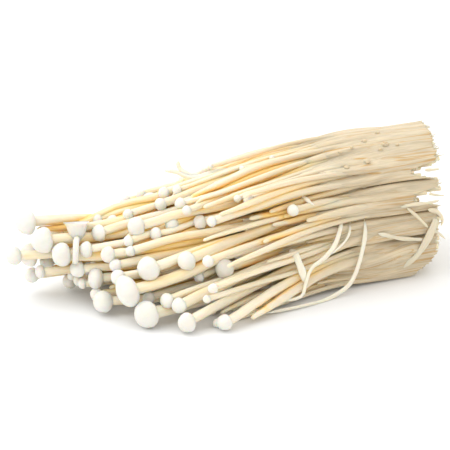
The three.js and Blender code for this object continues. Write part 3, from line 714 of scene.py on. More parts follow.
@dataclass(frozen=True)
class Threads:
    """Thin stems between the mushrooms: long ones near each clump's surface, and stubs inside the cut."""

    growth: Growth
    cells: int = 20  # across the outline, and up it
    shake: Pair = (0.2, 0.6)  # where in its cell one stands: the least, and how much more
    skin: float = 0.84  # places further out than this, from the middle, get a long one
    clear: float = 0.75
    tip_in: float = 0.96
    tip_x: Pair = (24.0, -16.0)
    tip_power: float = 0.8
    top_tip_x: Pair = (4.0, -15.0)
    top_sink: float = 1.6
    top_narrow: float = 0.38  # how much less wide the top ones spread
    top_by: float = 0.6  # the place up the outline by which they are narrowed
    rear_sink: float = 0.24  # how much lower the top ones end, for each millimetre to the rear
    stem: Pair = (1.5, 2.3)
    stub_tip_x: float = 46.0
    stub_stem: float = 2.0
    cap_before_x: float = 14.0
    cap_chance: float = 0.5
    cap_wider: Pair = (0.5, 1.5)  # how much wider than its stem a cap is
    cap_height: float = 0.85  # against its diameter
    behind_weight: float = 0.1
    first_index: int = 1000
    # The tips and diameters of stems that end behind the caps of others, and fill the space between them.
    behind_caps: tuple[tuple[float, ...], ...] = (
        (-53.5, 8.0, 20.2, 2.6),
        (-50.0, 7.5, 17.6, 2.6),
        (-50.5, 7.0, 14.6, 2.6),
        (-52.0, 9.0, 8.6, 2.4),
        (-48.0, 4.0, 11.2, 2.4),
        (-46.5, 8.0, 6.4, 2.4),
        (-41.0, 1.0, 8.0, 2.4),
        (-37.5, -3.0, 13.4, 2.4),
        (-36.5, -7.5, 6.0, 2.4),
        (-34.0, -12.0, 6.8, 2.4),
        (-30.0, -3.0, 19.0, 2.4),
    )

    def lines(self, mushrooms: Lines) -> tuple[Lines, Lines]:
        """The long ones and the stubs, laid out but not settled: one to a cell of a shaken grid.

        Args:
            mushrooms: those whose roots the threads keep clear of.

        Returns:
            The long threads and the stubs.
        """
        long, stubs = [], []
        growth = self.growth
        least, more = self.shake
        for cell in range(self.cells ** 2):
            a = (cell % self.cells + least + more * chance(cell, 61)) / self.cells * 2 - 1
            b = (cell // self.cells + least + more * chance(cell, 62)) / self.cells * 2 - 1
            root = growth.parted(growth.outline.place_at(a, b, np.array(growth.root_x)))
            if np.hypot(*(mushrooms.root - root).T).min() < self.clear:
                continue
            if max(abs(a), abs(b)) < self.skin:
                y, z = growth.outline.place_at(a, b, np.array(self.stub_tip_x))
                stubs.append((self.stub_tip_x, y, z, 0.0, 0.0, self.stub_stem, root, 1.0))
                continue
            tip_x = self.top_tip_x if b > growth.top_b else self.tip_x
            x = mix(*tip_x, chance(cell, 63) ** self.tip_power)
            y, z = growth.outline.place_at(a * self.tip_in, b * self.tip_in, np.array(x))
            top = smooth(b / self.top_by)
            y *= 1 - self.top_narrow * top
            z -= self.top_sink * max(b, 0) ** 2 + self.rear_sink * max(y, 0) * top
            stem = mix(*self.stem, chance(cell, 64))
            capped = x < self.cap_before_x and chance(cell, 65) < self.cap_chance
            diameter = stem + mix(*self.cap_wider, chance(cell, 66)) if capped else 0.0
            long.append((x, y, max(z, stem / 2), diameter, diameter * self.cap_height, stem, root, 1.0))
        for *tip, stem in self.behind_caps:
            root = growth.parted(growth.root_of(tip))
            long.append((*tip, 0.0, 0.0, stem, root, self.behind_weight))
        return (growth.laid_out(long, [row[6] for row in long], self.first_index),
                growth.laid_out(stubs, [row[6] for row in stubs], self.first_index + len(long)))


# ---- meshes ----

class Surface:
    """The vertices, faces and values of closed bodies that make one piece."""

    def __init__(self) -> None:
        """Starts with no body."""
        self.vertices: list[Array] = []
        self.quads: list[Array] = []
        self.triangles: list[Array] = []
        self.values: dict[str, list[Array]] = {}
        self.count = 0

    def add(self, rings: Array, poles: Array | None = None, **values: Array | float) -> None:
        """Adds a closed body: quads between rings that turn about the way they run, and a fan at each end.

        Args:
            rings: the rings' vertices, (rings, sides, 3).
            poles: the two ends' middle points, or None for the middles of the end rings.
            values: what each ring vertex holds, (rings, sides) or (rings, sides, 3), under its name, or one
                number for all. A body has no crease and no cut face where none is given.
        """
        ring_count, sides = rings.shape[:2]
        ends = rings[[0, -1]].mean(axis=1) if poles is None else poles
        self.vertices.append(np.concatenate([rings.reshape(-1, 3), ends]))
        for name, value in ({"crease": 0.0, "cut": 0.0} | values).items():
            held = np.full((ring_count, sides), value) if np.isscalar(value) else value
            flat = held.reshape(ring_count * sides, -1)
            caps = held[[0, -1]].mean(axis=1).reshape(2, -1)
            self.values.setdefault(name, []).append(np.concatenate([flat, caps]))
        ring, side = np.meshgrid(np.arange(ring_count - 1), np.arange(sides), indexing="ij")
        after = (side + 1) % sides
        here, there = ring * sides, (ring + 1) * sides
        quads = np.stack([here + side, here + after, there + after, there + side], -1).reshape(-1, 4)
        side = np.arange(sides)
        after = (side + 1) % sides
        start, last = ring_count * sides, (ring_count - 1) * sides
        fans = np.concatenate([
            np.stack([np.full(sides, start), after, side], -1),
            np.stack([np.full(sides, start + 1), last + side, last + after], -1),
        ])
        self.quads.append(quads + self.count)
        self.triangles.append(fans + self.count)
        self.count += ring_count * sides + 2

    def piece(self, name: str, material: bpy.types.Material) -> bpy.types.Object:
        """Writes the bodies into one mesh object at the frame's origin.

        Args:
            name: the piece's name.
            material: its finish.

        Returns:
            The object.
        """
        vertices = np.clip((np.concatenate(self.vertices) - [FOOT_X, 0, 0]) * MM, *CAD_BOUNDS)
        quads, triangles = np.concatenate(self.quads), np.concatenate(self.triangles)
        mesh = bpy.data.meshes.new(name)
        mesh.vertices.add(len(vertices))
        mesh.vertices.foreach_set("co", vertices.ravel())
        mesh.loops.add(quads.size + triangles.size)
        corners = np.concatenate([quads.ravel(), triangles.ravel()])
        mesh.loops.foreach_set("vertex_index", corners.astype(np.int32))
        mesh.polygons.add(len(quads) + len(triangles))
        starts = np.concatenate([np.arange(len(quads)) * 4, quads.size + np.arange(len(triangles)) * 3])
        mesh.polygons.foreach_set("loop_start", starts.astype(np.int32))
        mesh.update(calc_edges=True)
        mesh.shade_smooth()
        for key, parts in self.values.items():
            value = np.concatenate(parts).astype(np.float32)
            vector = value.shape[1] == 3
            layer = mesh.attributes.new(key, "FLOAT_VECTOR" if vector else "FLOAT", "POINT")
            layer.data.foreach_set("vector" if vector else "value", value.ravel())
        mesh.materials.append(material)
        piece = bpy.data.objects.new(name, mesh)
        bpy.context.scene.collection.objects.link(piece)
        log.info("%s: %d triangles", name, 2 * len(quads) + len(triangles))
        return piece


def tangents(path: Array) -> Array:
    """The direction of a path at each of its points, between its neighbours."""
    return unit(np.gradient(path, axis=0))


def ring_grid(path: Array, directions: Array, radii: Array, sides: int, up: Array = UP,
              flat: float = 1.0) -> Array:
    """Rings square to a path: point + radius (cos angle across + flat sin angle upward).

    Across is the cross product of up and the direction, and upward that of the direction and across.

    Args:
        path: the rings' middles, (rings, 3).
        directions: the way the path runs at each, (rings, 3) or (3,).
        radii: the radius at each ring, (rings,), or at each vertex, (rings, sides).
        sides: the number of vertices in a ring.
        up: a direction that the path never runs along.
        flat: how high a ring is, against its width.

    Returns:
        The rings' vertices, (rings, sides, 3).
    """
    ways = np.broadcast_to(directions, path.shape)
    across = unit(np.cross(up, ways))
    upward = np.cross(ways, across)
    reach = np.broadcast_to(radii[:, None] if radii.ndim == 1 else radii, (len(path), sides))[..., None]
    cosine, sine = (rule(turns(sides))[None, :, None] for rule in (np.cos, np.sin))
    return path[:, None] + reach * (cosine * across[:, None] + flat * sine * upward[:, None])


def grain_of(path: Array, radii: Array, sides: int, index: int) -> Array:
    """Coordinates that follow a stem: the length along it, and radius times cosine and sine of the angle.

    Args:
        path: the rings' middles, (rings, 3).
        radii: the radius at each ring, (rings,).
        sides: the number of vertices in a ring.
        index: the stem's number, by which each is set off from the others.

    Returns:
        The coordinates, (rings, sides, 3).
    """
    angles = turns(sides)
    along = np.broadcast_to(lengths(path)[:, None], (len(path), sides))
    return np.stack([along + 37.0 * index, radii[:, None] * np.cos(angles) + 3.1 * index,
                     radii[:, None] * np.sin(angles)], -1)


@dataclass
class Shelter:
    """How deep a point lies among the stems: the share of the space about it that stems fill.

    On each station's plane the stems' sections are drawn on a fine grid and blurred with a bell curve, by its
    product in the Fourier transform, once narrowly (near) and once widely (wide). The finishes paint golden
    shade by these.
    """

    growth: Growth
    lines: list[Lines]
    cell: float = 0.5
    low: Pair = (-40.0, -6.0)
    cells: tuple[int, int] = (160, 112)
    near: float = 0.8
    wide: float = 3.6
    fields: dict[str, Array] = field(init=False)

    def __post_init__(self) -> None:
        """Draws the sections and blurs them."""
        y, z = (self.low[k] + self.cell * np.arange(self.cells[k]) for k in (0, 1))
        filled = np.zeros((self.growth.stations, *self.cells))
        for lines in self.lines:
            for station in range(self.growth.stations):
                shown = lines.live > station
                middles, radii = lines.line[shown, station], lines.radius[shown, station]
                for (stem_y, stem_z), radius in zip(middles, radii):
                    reach = np.hypot(y[:, None] - stem_y, z[None, :] - stem_z)
                    np.maximum(filled[station], np.clip((radius - reach) / self.cell + 0.5, 0, 1),
                               out=filled[station])
        frequency = [np.fft.fftfreq(count, self.cell) for count in self.cells]
        square = frequency[0][:, None] ** 2 + frequency[1][None, :] ** 2
        self.fields = {}
        for name, width in (("near", self.near), ("wide", self.wide)):
            bell = np.exp(-2 * np.pi ** 2 * width ** 2 * square)
            self.fields[name] = np.fft.ifft2(np.fft.fft2(filled, axes=(1, 2)) * bell, axes=(1, 2)).real

    def at(self, name: str, points: Array) -> Array:
        """The field's value at points, straight-line between its cells and stations.

        Args:
            name: the field, near or wide.
            points: places in the layout, with a last axis of three.

        Returns:
            The values, without that axis.
        """
        flat = points.reshape(-1, 3)
        place = np.stack([
            (self.growth.first_station_x - flat[:, 0]) / self.growth.station_step,
            (flat[:, 1] - self.low[0]) / self.cell,
            (flat[:, 2] - self.low[1]) / self.cell,
        ], -1)
        most = np.array([self.growth.stations, *self.cells]) - 2
        cell = np.clip(np.floor(place).astype(int), 0, most)
        share = np.clip(place - cell, 0, 1)
        value = np.zeros(len(flat))
        for corner in np.ndindex(2, 2, 2):
            weight = np.where(np.array(corner) == 1, share, 1 - share).prod(axis=1)
            value += weight * self.fields[name][tuple((cell + corner).T)]
        return value.reshape(points.shape[:-1])

    def values(self, points: Array) -> dict[str, Array]:
        """Both fields' values at points, under their names."""
        return {name: self.at(name, points) for name in ("near", "wide")}


# ---- finishes ----

@dataclass(frozen=True)
class Pattern:
    """Cloudy noise that is stretched along the stems, and the two of its values that it fades between."""

    along: float
    across: float
    scale: float
    detail: float
    low: float = 0.0
    high: float = 1.0


class Graph:
    """Writes a material's nodes in few words."""

    def __init__(self, name: str) -> None:
        """Starts a material with a plain shader.

        Args:
            name: its name.
        """
        self.material = bpy.data.materials.new(name)
        self.material.use_nodes = True
        self.tree = self.material.node_tree
        self.shader = self.tree.nodes["Principled BSDF"]

    def node(self, kind: str, inputs: dict | None = None, **settings: object) -> bpy.types.Node:
        """Adds a node.

        Args:
            kind: its type.
            inputs: its inputs, as constants or as other nodes' outputs.
            settings: its settings.

        Returns:
            The node.
        """
        made = self.tree.nodes.new(kind)
        for key, value in settings.items():
            setattr(made, key, value)
        for key, value in (inputs or {}).items():
            self.feed(made.inputs[key], value)
        return made

    def feed(self, socket: Socket, value: object) -> None:
        """Links an output to a socket, or sets the socket's constant.

        Args:
            socket: the input.
            value: the output or the constant.
        """
        if isinstance(value, Socket):
            self.tree.links.new(value, socket)
        else:
            socket.default_value = value

    def attribute(self, name: str, vector: bool = False) -> Socket:
        """The mesh's own value of that name."""
        return self.node("ShaderNodeAttribute", attribute_name=name).outputs["Vector" if vector else "Fac"]

    def ramp(self, value: object, low: float, high: float, to_low: float = 0.0,
             to_high: float = 1.0) -> Socket:
        """A smooth step of a value, from to_low at low to to_high at high."""
        inputs = {0: value, 1: low, 2: high, 3: to_low, 4: to_high}
        return self.node("ShaderNodeMapRange", inputs, interpolation_type="SMOOTHSTEP").outputs[0]

    def noise(self, grain: object, pattern: Pattern) -> Socket:
        """A pattern's cloudy noise.

        Args:
            grain: the grain coordinates that it lies on.
            pattern: its sizes.

        Returns:
            The noise, from 0 to 1.
        """
        stretch = (pattern.along, pattern.across, pattern.across)
        place = self.node("ShaderNodeMapping", {"Vector": grain, "Scale": stretch}).outputs["Vector"]
        inputs = {"Vector": place, "Scale": pattern.scale, "Detail": pattern.detail}
        return self.node("ShaderNodeTexNoise", inputs).outputs["Fac"]

    def blend(self, share: object, first: object, second: object, how: str = "MIX") -> Socket:
        """A mix of two colours.

        Args:
            share: how much of the second.
            first: a colour.
            second: another.
            how: the way in which they mix.

        Returns:
            The colour.
        """
        made = self.node("ShaderNodeMix", data_type="RGBA", blend_type=how)
        for place, value in {"Factor": share, 6: first, 7: second}.items():
            self.feed(made.inputs[place], value)
        return made.outputs[2]

    def maths(self, how: str, first: object, second: object) -> Socket:
        """A rule of two numbers, such as their sum."""
        return self.node("ShaderNodeMath", {0: first, 1: second}, operation=how).outputs[0]

    def times(self, first: object, second: object) -> Socket:
        """The product of two numbers."""
        return self.maths("MULTIPLY", first, second)


@dataclass(frozen=True)
class Finish:
    """A finish of the flesh: its colours, from the open to painted golden shade deep among the stems, with
    painted shade in creases, and its surface.

    Each x is in metres from the frame's origin.
    """

    name: str
    open_colour: Colour
    old_colour: Colour
    # the base's own duller colour, made darker too as painted shade towards the cut end
    base_colour: Colour
    # painted golden shade: where stems are near, and deep among them
    crevice_colour: Colour
    deep_colour: Colour
    # painted shade in creases, which also gives specks their brown
    crease_colour: Colour
    # where the near and the wide values set the painted golden shade in
    crevice: Pair
    deep: Pair
    roughness: float
    subsurface: float
    streaks: float
    bump: float
    crease: Pair = (0.05, 0.26)  # the depths, in millimetres, between which creases get painted shade
    patches: float = 0.03  # how much the flesh varies from lighter to darker in broad streaks
    lines: float = 0.0  # how strongly thin lines of painted crease shade show in the base
    base_x: Pair = (-0.07, -0.01)  # where the base's colour, with its painted shade, sets in
    bleed: float = 0.0014  # how far light spreads in the flesh, in metres
    bleed_colour: Triple = (1.0, 0.68, 0.4)
    cut_colour: Colour = (0.86, 0.75, 0.53, 1)
    calm_x: Pair = (-0.048, -0.018)  # where the painted golden shade in crevices fades
    # how much of the painted golden shade is left beyond that
    calm_share: float = 0.15
    line_x: Pair = (-0.03, 0.0)  # where the thin lines of painted crease shade set in
    line_width: Pair = (0.008, 0.05)
    fissure: tuple[float, float, float, float] = (0.3, 0.6, 1.0, 0.15)  # the painted crease shade fades again where they are deeper than creases
    # how much the broad noise moves the painted golden shade about
    near_stray: float = 0.16
    bump_height: float = 0.0002
    specular: float = 0.3
    fine: Pattern = Pattern(0.08, 1.0, 2.4, 4.0, 0.3, 0.7)
    broad: Pattern = Pattern(0.05, 0.35, 1.0, 2.0, 0.35, 0.7)
    patch: Pattern = Pattern(0.04, 0.28, 1.7, 1.0, 0.3, 0.7)
    creased: Pattern = Pattern(0.028, 0.3, 1.3, 1.0, 0.36, 0.56)  # where the painted crease shade shows
    wavy: Pattern = Pattern(0.02, 0.7, 1.0, 1.0)  # the thin lines of painted crease shade run where it is half

    def material(self) -> bpy.types.Material:
        """Builds the finish: streaks run along each stem, by the piece's own grain coordinates, and golden
        shade is painted by the near and wide values, and shade in creases.

        Returns:
            The material.
        """
        graph = Graph(self.name)
        grain = graph.attribute("grain", vector=True)
        patterns = (self.fine, self.broad, self.patch, self.creased, self.wavy)
        fine, broad, patch, creased, wavy = (graph.noise(grain, pattern) for pattern in patterns)
        place = graph.node("ShaderNodeTexCoord").outputs["Object"]
        x = graph.node("ShaderNodeSeparateXYZ", {0: place}).outputs[0]
        old = graph.ramp(broad, self.broad.low, self.broad.high)
        colour = graph.blend(old, self.open_colour, self.old_colour)
        # the base's colour, which also paints shade towards the cut end
        colour = graph.blend(graph.ramp(x, *self.base_x), colour, self.base_colour)
        # painted golden shade among the stems, fading towards the base
        golden_shade = graph.ramp(x, *self.calm_x, 1.0, self.calm_share)
        near = graph.maths("ADD", graph.attribute("near"), graph.times(broad, self.near_stray))
        for share, painted_shade in ((graph.ramp(near, *self.crevice), self.crevice_colour),
                                 (graph.ramp(graph.attribute("wide"), *self.deep), self.deep_colour)):
            colour = graph.blend(graph.times(share, golden_shade), colour, painted_shade)
        # painted shade in creases, and the brown of specks
        colour = graph.blend(self.creases(graph, x, creased, wavy), colour, self.crease_colour)
        colour = graph.blend(graph.attribute("cut"), colour, self.cut_colour)
        shade = graph.times(
            graph.ramp(fine, self.fine.low, self.fine.high, 1.0 - self.streaks, 1.0 + 0.3 * self.streaks),
            graph.ramp(patch, self.patch.low, self.patch.high, 1.0 - self.patches, 1.0 + 0.5 * self.patches))
        shade_colour = graph.node("ShaderNodeCombineColor", {0: shade, 1: shade, 2: shade}).outputs[0]
        colour = graph.blend(1.0, colour, shade_colour, "MULTIPLY")
        relief = {"Height": fine, "Strength": self.bump, "Distance": self.bump_height}
        shader = graph.shader
        graph.feed(shader.inputs["Base Color"], colour)
        graph.feed(shader.inputs["Normal"], graph.node("ShaderNodeBump", relief).outputs[0])
        shader.inputs["Roughness"].default_value = self.roughness
        shader.inputs["Subsurface Weight"].default_value = self.subsurface
        shader.inputs["Subsurface Radius"].default_value = self.bleed_colour
        shader.inputs["Subsurface Scale"].default_value = self.bleed
        shader.inputs["Specular IOR Level"].default_value = self.specular
        return graph.material

    def creases(self, graph: Graph, x: object, creased: object, wavy: object) -> Socket:
        """How far a place gets the painted crease shade, in the body's own creases and on thin lines in the
        base, or a speck's brown.

        Args:
            graph: the material's nodes.
            x: the place along the bunch.
            creased: the noise that says where the painted crease shade shows.
            wavy: the noise on whose middle value the lines run.

        Returns:
            The share, from 0 to 1.
        """
        here = graph.ramp(creased, self.creased.low, self.creased.high)
        depth = graph.attribute("crease")
        shown = graph.times(graph.ramp(depth, *self.fissure), here)
        crease = graph.ramp(graph.times(depth, shown), *self.crease)
        off = graph.maths("ABSOLUTE", graph.maths("SUBTRACT", wavy, 0.5), 0.0)
        line = graph.times(graph.ramp(off, *self.line_width, 1.0, 0.0), graph.ramp(x, *self.line_x))
        return graph.maths("MAXIMUM", crease, graph.times(line, graph.times(here, self.lines)))


# Colours: open, old, the base's with painted shade, painted golden shade near and deep among stems, painted
# crease shade
STEM_FLESH = Finish(
    "stem flesh", (0.86, 0.79, 0.63, 1), (0.85, 0.74, 0.52, 1), (0.64, 0.54, 0.38, 1), (0.94, 0.63, 0.22, 1),
    (0.94, 0.51, 0.11, 1), (0.66, 0.41, 0.16, 1), crevice=(0.40, 0.70), deep=(0.36, 0.70), roughness=0.45,
    subsurface=0.7, streaks=0.05, bump=0.12, bleed=0.0013)
TORN_FLESH = Finish(
    "torn flesh", (0.84, 0.79, 0.66, 1), (0.84, 0.77, 0.62, 1), (0.72, 0.64, 0.48, 1), (0.88, 0.63, 0.28, 1),
    (0.88, 0.51, 0.16, 1), (0.66, 0.41, 0.16, 1), crevice=(0.5, 0.9), deep=(0.6, 1.0), roughness=0.5,
    subsurface=0.5, streaks=0.06, bump=0.2, bleed=0.001, base_x=(-0.016, -0.008))
CAP_SKIN = Finish(
    "cap skin", (0.76, 0.75, 0.70, 1), (0.76, 0.74, 0.67, 1), (0.76, 0.73, 0.64, 1), (0.92, 0.78, 0.50, 1),
    (0.92, 0.66, 0.30, 1), (0.8, 0.6, 0.3, 1), crevice=(0.42, 0.85), deep=(0.5, 0.95), roughness=0.4,
    subsurface=0.8, streaks=0.02, bump=0.04, bleed=0.0016)
BASE_FIBRE = Finish(
    "base fibre", (0.84, 0.75, 0.57, 1), (0.80, 0.67, 0.46, 1), (0.63, 0.53, 0.37, 1), (0.80, 0.54, 0.22, 1),
    (0.80, 0.43, 0.11, 1), (0.56, 0.35, 0.14, 1), crevice=(0.66, 0.95), deep=(0.6, 1.0), roughness=0.6,
    subsurface=0.5, streaks=0.12, bump=0.4, patches=0.1, lines=0.9)


# ---- the pieces ----

@dataclass(frozen=True)
class Cut:
    """Where the knife met the bunch, and where the cut end is torn away and the clumps part in wedges."""

    x: float = 64.0  # at y = 0
    slant: float = 0.22
    ragged: float = 1.2
    corner: float = 8.3  # how far the lower front corner is torn back at the surface
    corner_z: float = 7.0
    corner_power: float = 1.5
    corner_y: Pair = (2.0, -8.0)
    rear_shorter: float = 5.5
    rear_y: float = 7.5
    rear_top_z: float = 29.0
    rear_blend: float = 4.0
    # each wedge's z, half height and depth
    wedges: tuple[Triple, ...] = ((31.0, 2.8, 8.0), (22.8, 3.0, 7.5))
    wedge_y: float = -8.0  # where the wedges have that z
    wedge_fall: float = 0.38
    wedge_steepness: float = 1.6
    most: float = 69.2

    def at(self, y: Array, z: Array, index: Array) -> Array:
        """The x of a stem's cut end: slanted over y, and ragged by a draw.

        It is shorter by the most of these: the corner's depth times (1 - z / its height)^power, smoothly to
        nothing over its width in y; the rear clumps' shortness; and each wedge's depth times a blunted tent
        of the height over the wedge's middle, which sinks to the rear.

        Args:
            y: the stem's place across the bunch.
            z: its height.
            index: the number that its draw is made with.

        Returns:
            The x, of the same shape.
        """
        low = np.clip(1 - np.asarray(z) / self.corner_z, 0, 1) ** self.corner_power
        front = step_over(np.asarray(y), *self.corner_y)
        rear = (smooth((np.asarray(y) - self.rear_y) / self.rear_blend)
                * smooth((self.rear_top_z - np.asarray(z)) / self.rear_blend + 0.5))
        shorter = np.maximum(self.corner * low * front, self.rear_shorter * rear)
        z_in_front = z + self.wedge_fall * (y - self.wedge_y)
        for middle, half, depth in self.wedges:
            inside = np.clip(1 - np.abs(z_in_front - middle) / half, 0, 1)
            shorter = np.maximum(shorter, depth * np.minimum(inside * self.wedge_steepness, 1))
        ragged = self.ragged * (chance(index, 21) - 0.5)
        return np.minimum(self.x + self.slant * y - shorter + ragged, self.most)


@dataclass(frozen=True)
class StemForm:
    """The shape of the stems, from the cut end to inside the cap."""

    growth: Growth
    cut: Cut
    neck: float = 2.0  # how far under its cap a stem's line is left for the cap's middle
    rings: int = 36
    sides: int = 12
    oval: float = 0.12
    lumps: float = 0.05
    ground: float = 1.1  # the least height of a stem's middle, against its radius
    swell: float = 0.55  # how much wider the stems are in the base, where they grow into each other
    swell_x: Pair = (18.0, 50.0)
    crowding: float = 2.2  # how much closer the rings lie at a capless end
    sunk: float = 0.4  # how much of that they stay under the base's surface
    sunk_x: Pair = (28.0, 44.0)

    def path(self, lines: Lines, stem: int) -> tuple[Array, Array]:
        """A stem's smooth path from the cut to the middle of its cap, and the radius along it.

        Args:
            lines: the settled lines.
            stem: the stem's row.

        Returns:
            The path's points, (rings, 3), and radii, (rings,).
        """
        live = lines.live[stem]
        x = self.growth.station_x()[:live]
        points = np.column_stack([x, lines.line[stem, :live]])
        tip = lines.tip[stem]
        end_x = self.cut.at(points[1, 1], points[1, 2], lines.index[stem])
        clear = np.linalg.norm(points - tip, axis=1) > 0.5 * lines.height[stem] + self.neck
        behind = points[(points[:, 0] < end_x - 1) & clear]
        first = behind[0].copy()
        first[0] = end_x
        shares = np.linspace(0, 1, self.rings)
        if lines.diameter[stem] == 0:
            shares = 1 - (1 - shares) ** self.crowding
        path = smooth_path(np.vstack([first, behind, tip]), shares)
        radii = np.interp(-path[:, 0], -self.growth.station_x(), lines.radius[stem])
        wider = (self.swell * step_over(path[:, 0], *self.swell_x)
                 - self.sunk * step_over(path[:, 0], *self.sunk_x))
        radii = radii * (1 + wider)
        path[:, 2] = np.maximum(path[:, 2], radii * self.ground)
        return path, radii

    def section(self, index: int, radii: Array) -> Array:
        """Radii round each ring: an oval that slowly turns along the stem, with small lumps.

        Each is the radius times 1 + oval cos 2(angle - a - 2 along) + lumps sin(3 angle + b + 7 along) times
        sin(40 along + index).

        Args:
            index: the stem's number, for its draws.
            radii: the stem's radius at each ring, (rings,).

        Returns:
            The radii, (rings, sides).
        """
        along = np.linspace(0, 1, len(radii))[:, None]
        angle = turns(self.sides)[None]
        flat = self.oval * chance(index, 41) * np.cos(2 * (angle - 6 * chance(index, 42) - 2 * along))
        lump = self.lumps * np.sin(3 * angle + 9 * chance(index, 43) + 7 * along) * np.sin(40 * along + index)
        return radii[:, None] * (1 + flat + lump)


@dataclass
class Stems:
    """The stems of a group of mushrooms."""

    lines: Lines
    form: StemForm
    shelter: Shelter
    thin_end: float = 0.6
    thin_length: float = 14.0
    end_share: float = 0.04  # the square of the radius that a rounded end starts with

    def build(self, clump: Clump, surface: Surface) -> None:
        """Adds the stems of a clump to a surface.

        One with no cap gets thinner towards its end and is rounded off like a finger's: its radius falls with
        the root of the way left.

        Args:
            clump: the clump.
            surface: what it's added to.
        """
        form = self.form
        for stem in np.flatnonzero(self.lines.clump == clump.number):
            index = int(self.lines.index[stem])
            path, radii = form.path(self.lines, stem)
            if self.lines.diameter[stem] == 0:
                left = lengths(path)[-1] - lengths(path)
                radii = radii * mix(self.thin_end, 1.0, smooth(left / self.thin_length))
                radii = radii * np.sqrt(np.clip(left / radii[-1] + self.end_share, 0, 1))
            rings = ring_grid(path, tangents(path), form.section(index, radii), form.sides)
            cut = np.zeros(rings.shape[:2])
            cut[0] = 1
            # with the near and wide values, for the painted golden shade
            surface.add(rings, grain=grain_of(path, radii, form.sides, index), cut=cut,
                        **self.shelter.values(rings))


@dataclass
class Caps:
    """The mushrooms' caps: egg-shaped domes with an in-rolled rim."""

    lines: Lines
    form: StemForm
    shelter: Shelter
    sides: int = 18
    rings: int = 15
    rim_angle: float = 0.86  # of a half turn from the crown to the rim's inner edge
    crown_angle: float = 0.05
    under: Pair = (0.30, 0.48)  # the share of its height that lies under the widest ring
    fullness: Pair = (0.72, 1.0)
    stem_most: float = 0.8  # the widest that a stem may be against its cap
    hollow: Pair = (0.12, 0.04)  # how far in the skin goes on to the stem, in cap heights
    hollow_end: float = 0.8  # the radius that it ends with there, against the stem's
    left_out: tuple[int, ...] = (8, 9)  # these have the upturned mushroom in their place
    lumps: float = 0.05
    ripples: float = 0.02
    nod: float = 0.2
    straighten: float = 0.5  # how far the caps turn from their stem's direction to the bunch's
    inset: float = 0.1  # how far inside the solids' box they stay
    sunk: float = 1.0  # how far a cap may reach under the ground, before what is under it is made flat

    def profile(self, stem_share: float, fullness: float, under: float) -> tuple[Array, Array]:
        """The cap's profile from the stem to the crown.

        The dome's radius is the sine of the angle from the crown, to a power that makes it fuller, and its
        height the cosine, scaled so that the whole is one cap height long. The skin turns in to the stem.

        Args:
            stem_share: the stem's radius against the cap's.
            fullness: the power of the sine: 1 is an egg, and less is a barrel.
            under: the share of the height under the widest ring.

        Returns:
            Places along the axis, in cap heights, and radii, in cap radii.
        """
        angle = np.linspace(self.rim_angle * np.pi, self.crown_angle * np.pi, self.rings)
        level = np.cos(angle)
        dome = np.where(level < 0, -level / level[0] * under, level / level[-1] * (1 - under)) + under - 0.5
        radius = np.sin(angle) ** fullness
        inside = [stem_share * self.hollow_end, mix(stem_share, radius[0], 0.5)]
        return np.concatenate([dome[0] + np.array(self.hollow), dome]), np.concatenate([inside, radius])

    def build(self, clump: Clump, surface: Surface) -> None:
        """Adds the caps of a clump to a surface: profiles turned about an axis, a little out of round.

        One that reaches out of the solids' box is moved inwards.

        Args:
            clump: the clump.
            surface: what it's added to.
        """
        lines = self.lines
        low, high = SOLIDS_BOX + [[self.inset, self.inset, -self.sunk], [-self.inset] * 3]
        angle = turns(self.sides)[None]
        for row in np.flatnonzero((lines.clump == clump.number) & (lines.diameter > 0)):
            index = int(lines.index[row])
            if index in self.left_out:
                continue
            path, _ = self.form.path(lines, row)
            axis = mix(tangents(path)[-1], np.array([-1.0, 0.0, 0.0]), self.straighten)
            axis = unit(axis + self.nod * np.array([0, *(chance(index, np.array([51, 52])) * 2 - 1)]))
            along, share = self.profile(min(lines.stem[row] / lines.diameter[row], self.stem_most),
                                        mix(*self.fullness, chance(index, 55)),
                                        mix(*self.under, chance(index, 56)))
            height, half = lines.height[row], lines.diameter[row] / 2
            middles = lines.tip[row] + np.outer(along * height, axis)
            lump = (1 + self.lumps * (chance(index, 53) + 0.3) * np.sin(2 * angle + 6 * chance(index, 54))
                    + self.ripples * np.sin(3 * angle + 5 * along[:, None] + index))
            rings = ring_grid(middles, axis, half * share[:, None] * lump, self.sides)
            moved = (np.maximum(low - rings.min(axis=(0, 1)), 0)
                     - np.maximum(rings.max(axis=(0, 1)) - high, 0))
            rings = rings + moved
            rings[..., 2] = np.maximum(rings[..., 2], 0.0)
            poles = np.stack([middles[0], lines.tip[row] + axis * 0.5 * height]) + moved
            # with the near and wide values, for the painted golden shade
            surface.add(rings, poles, grain=grain_of(middles, share * half, self.sides, index),
                        **self.shelter.values(rings))


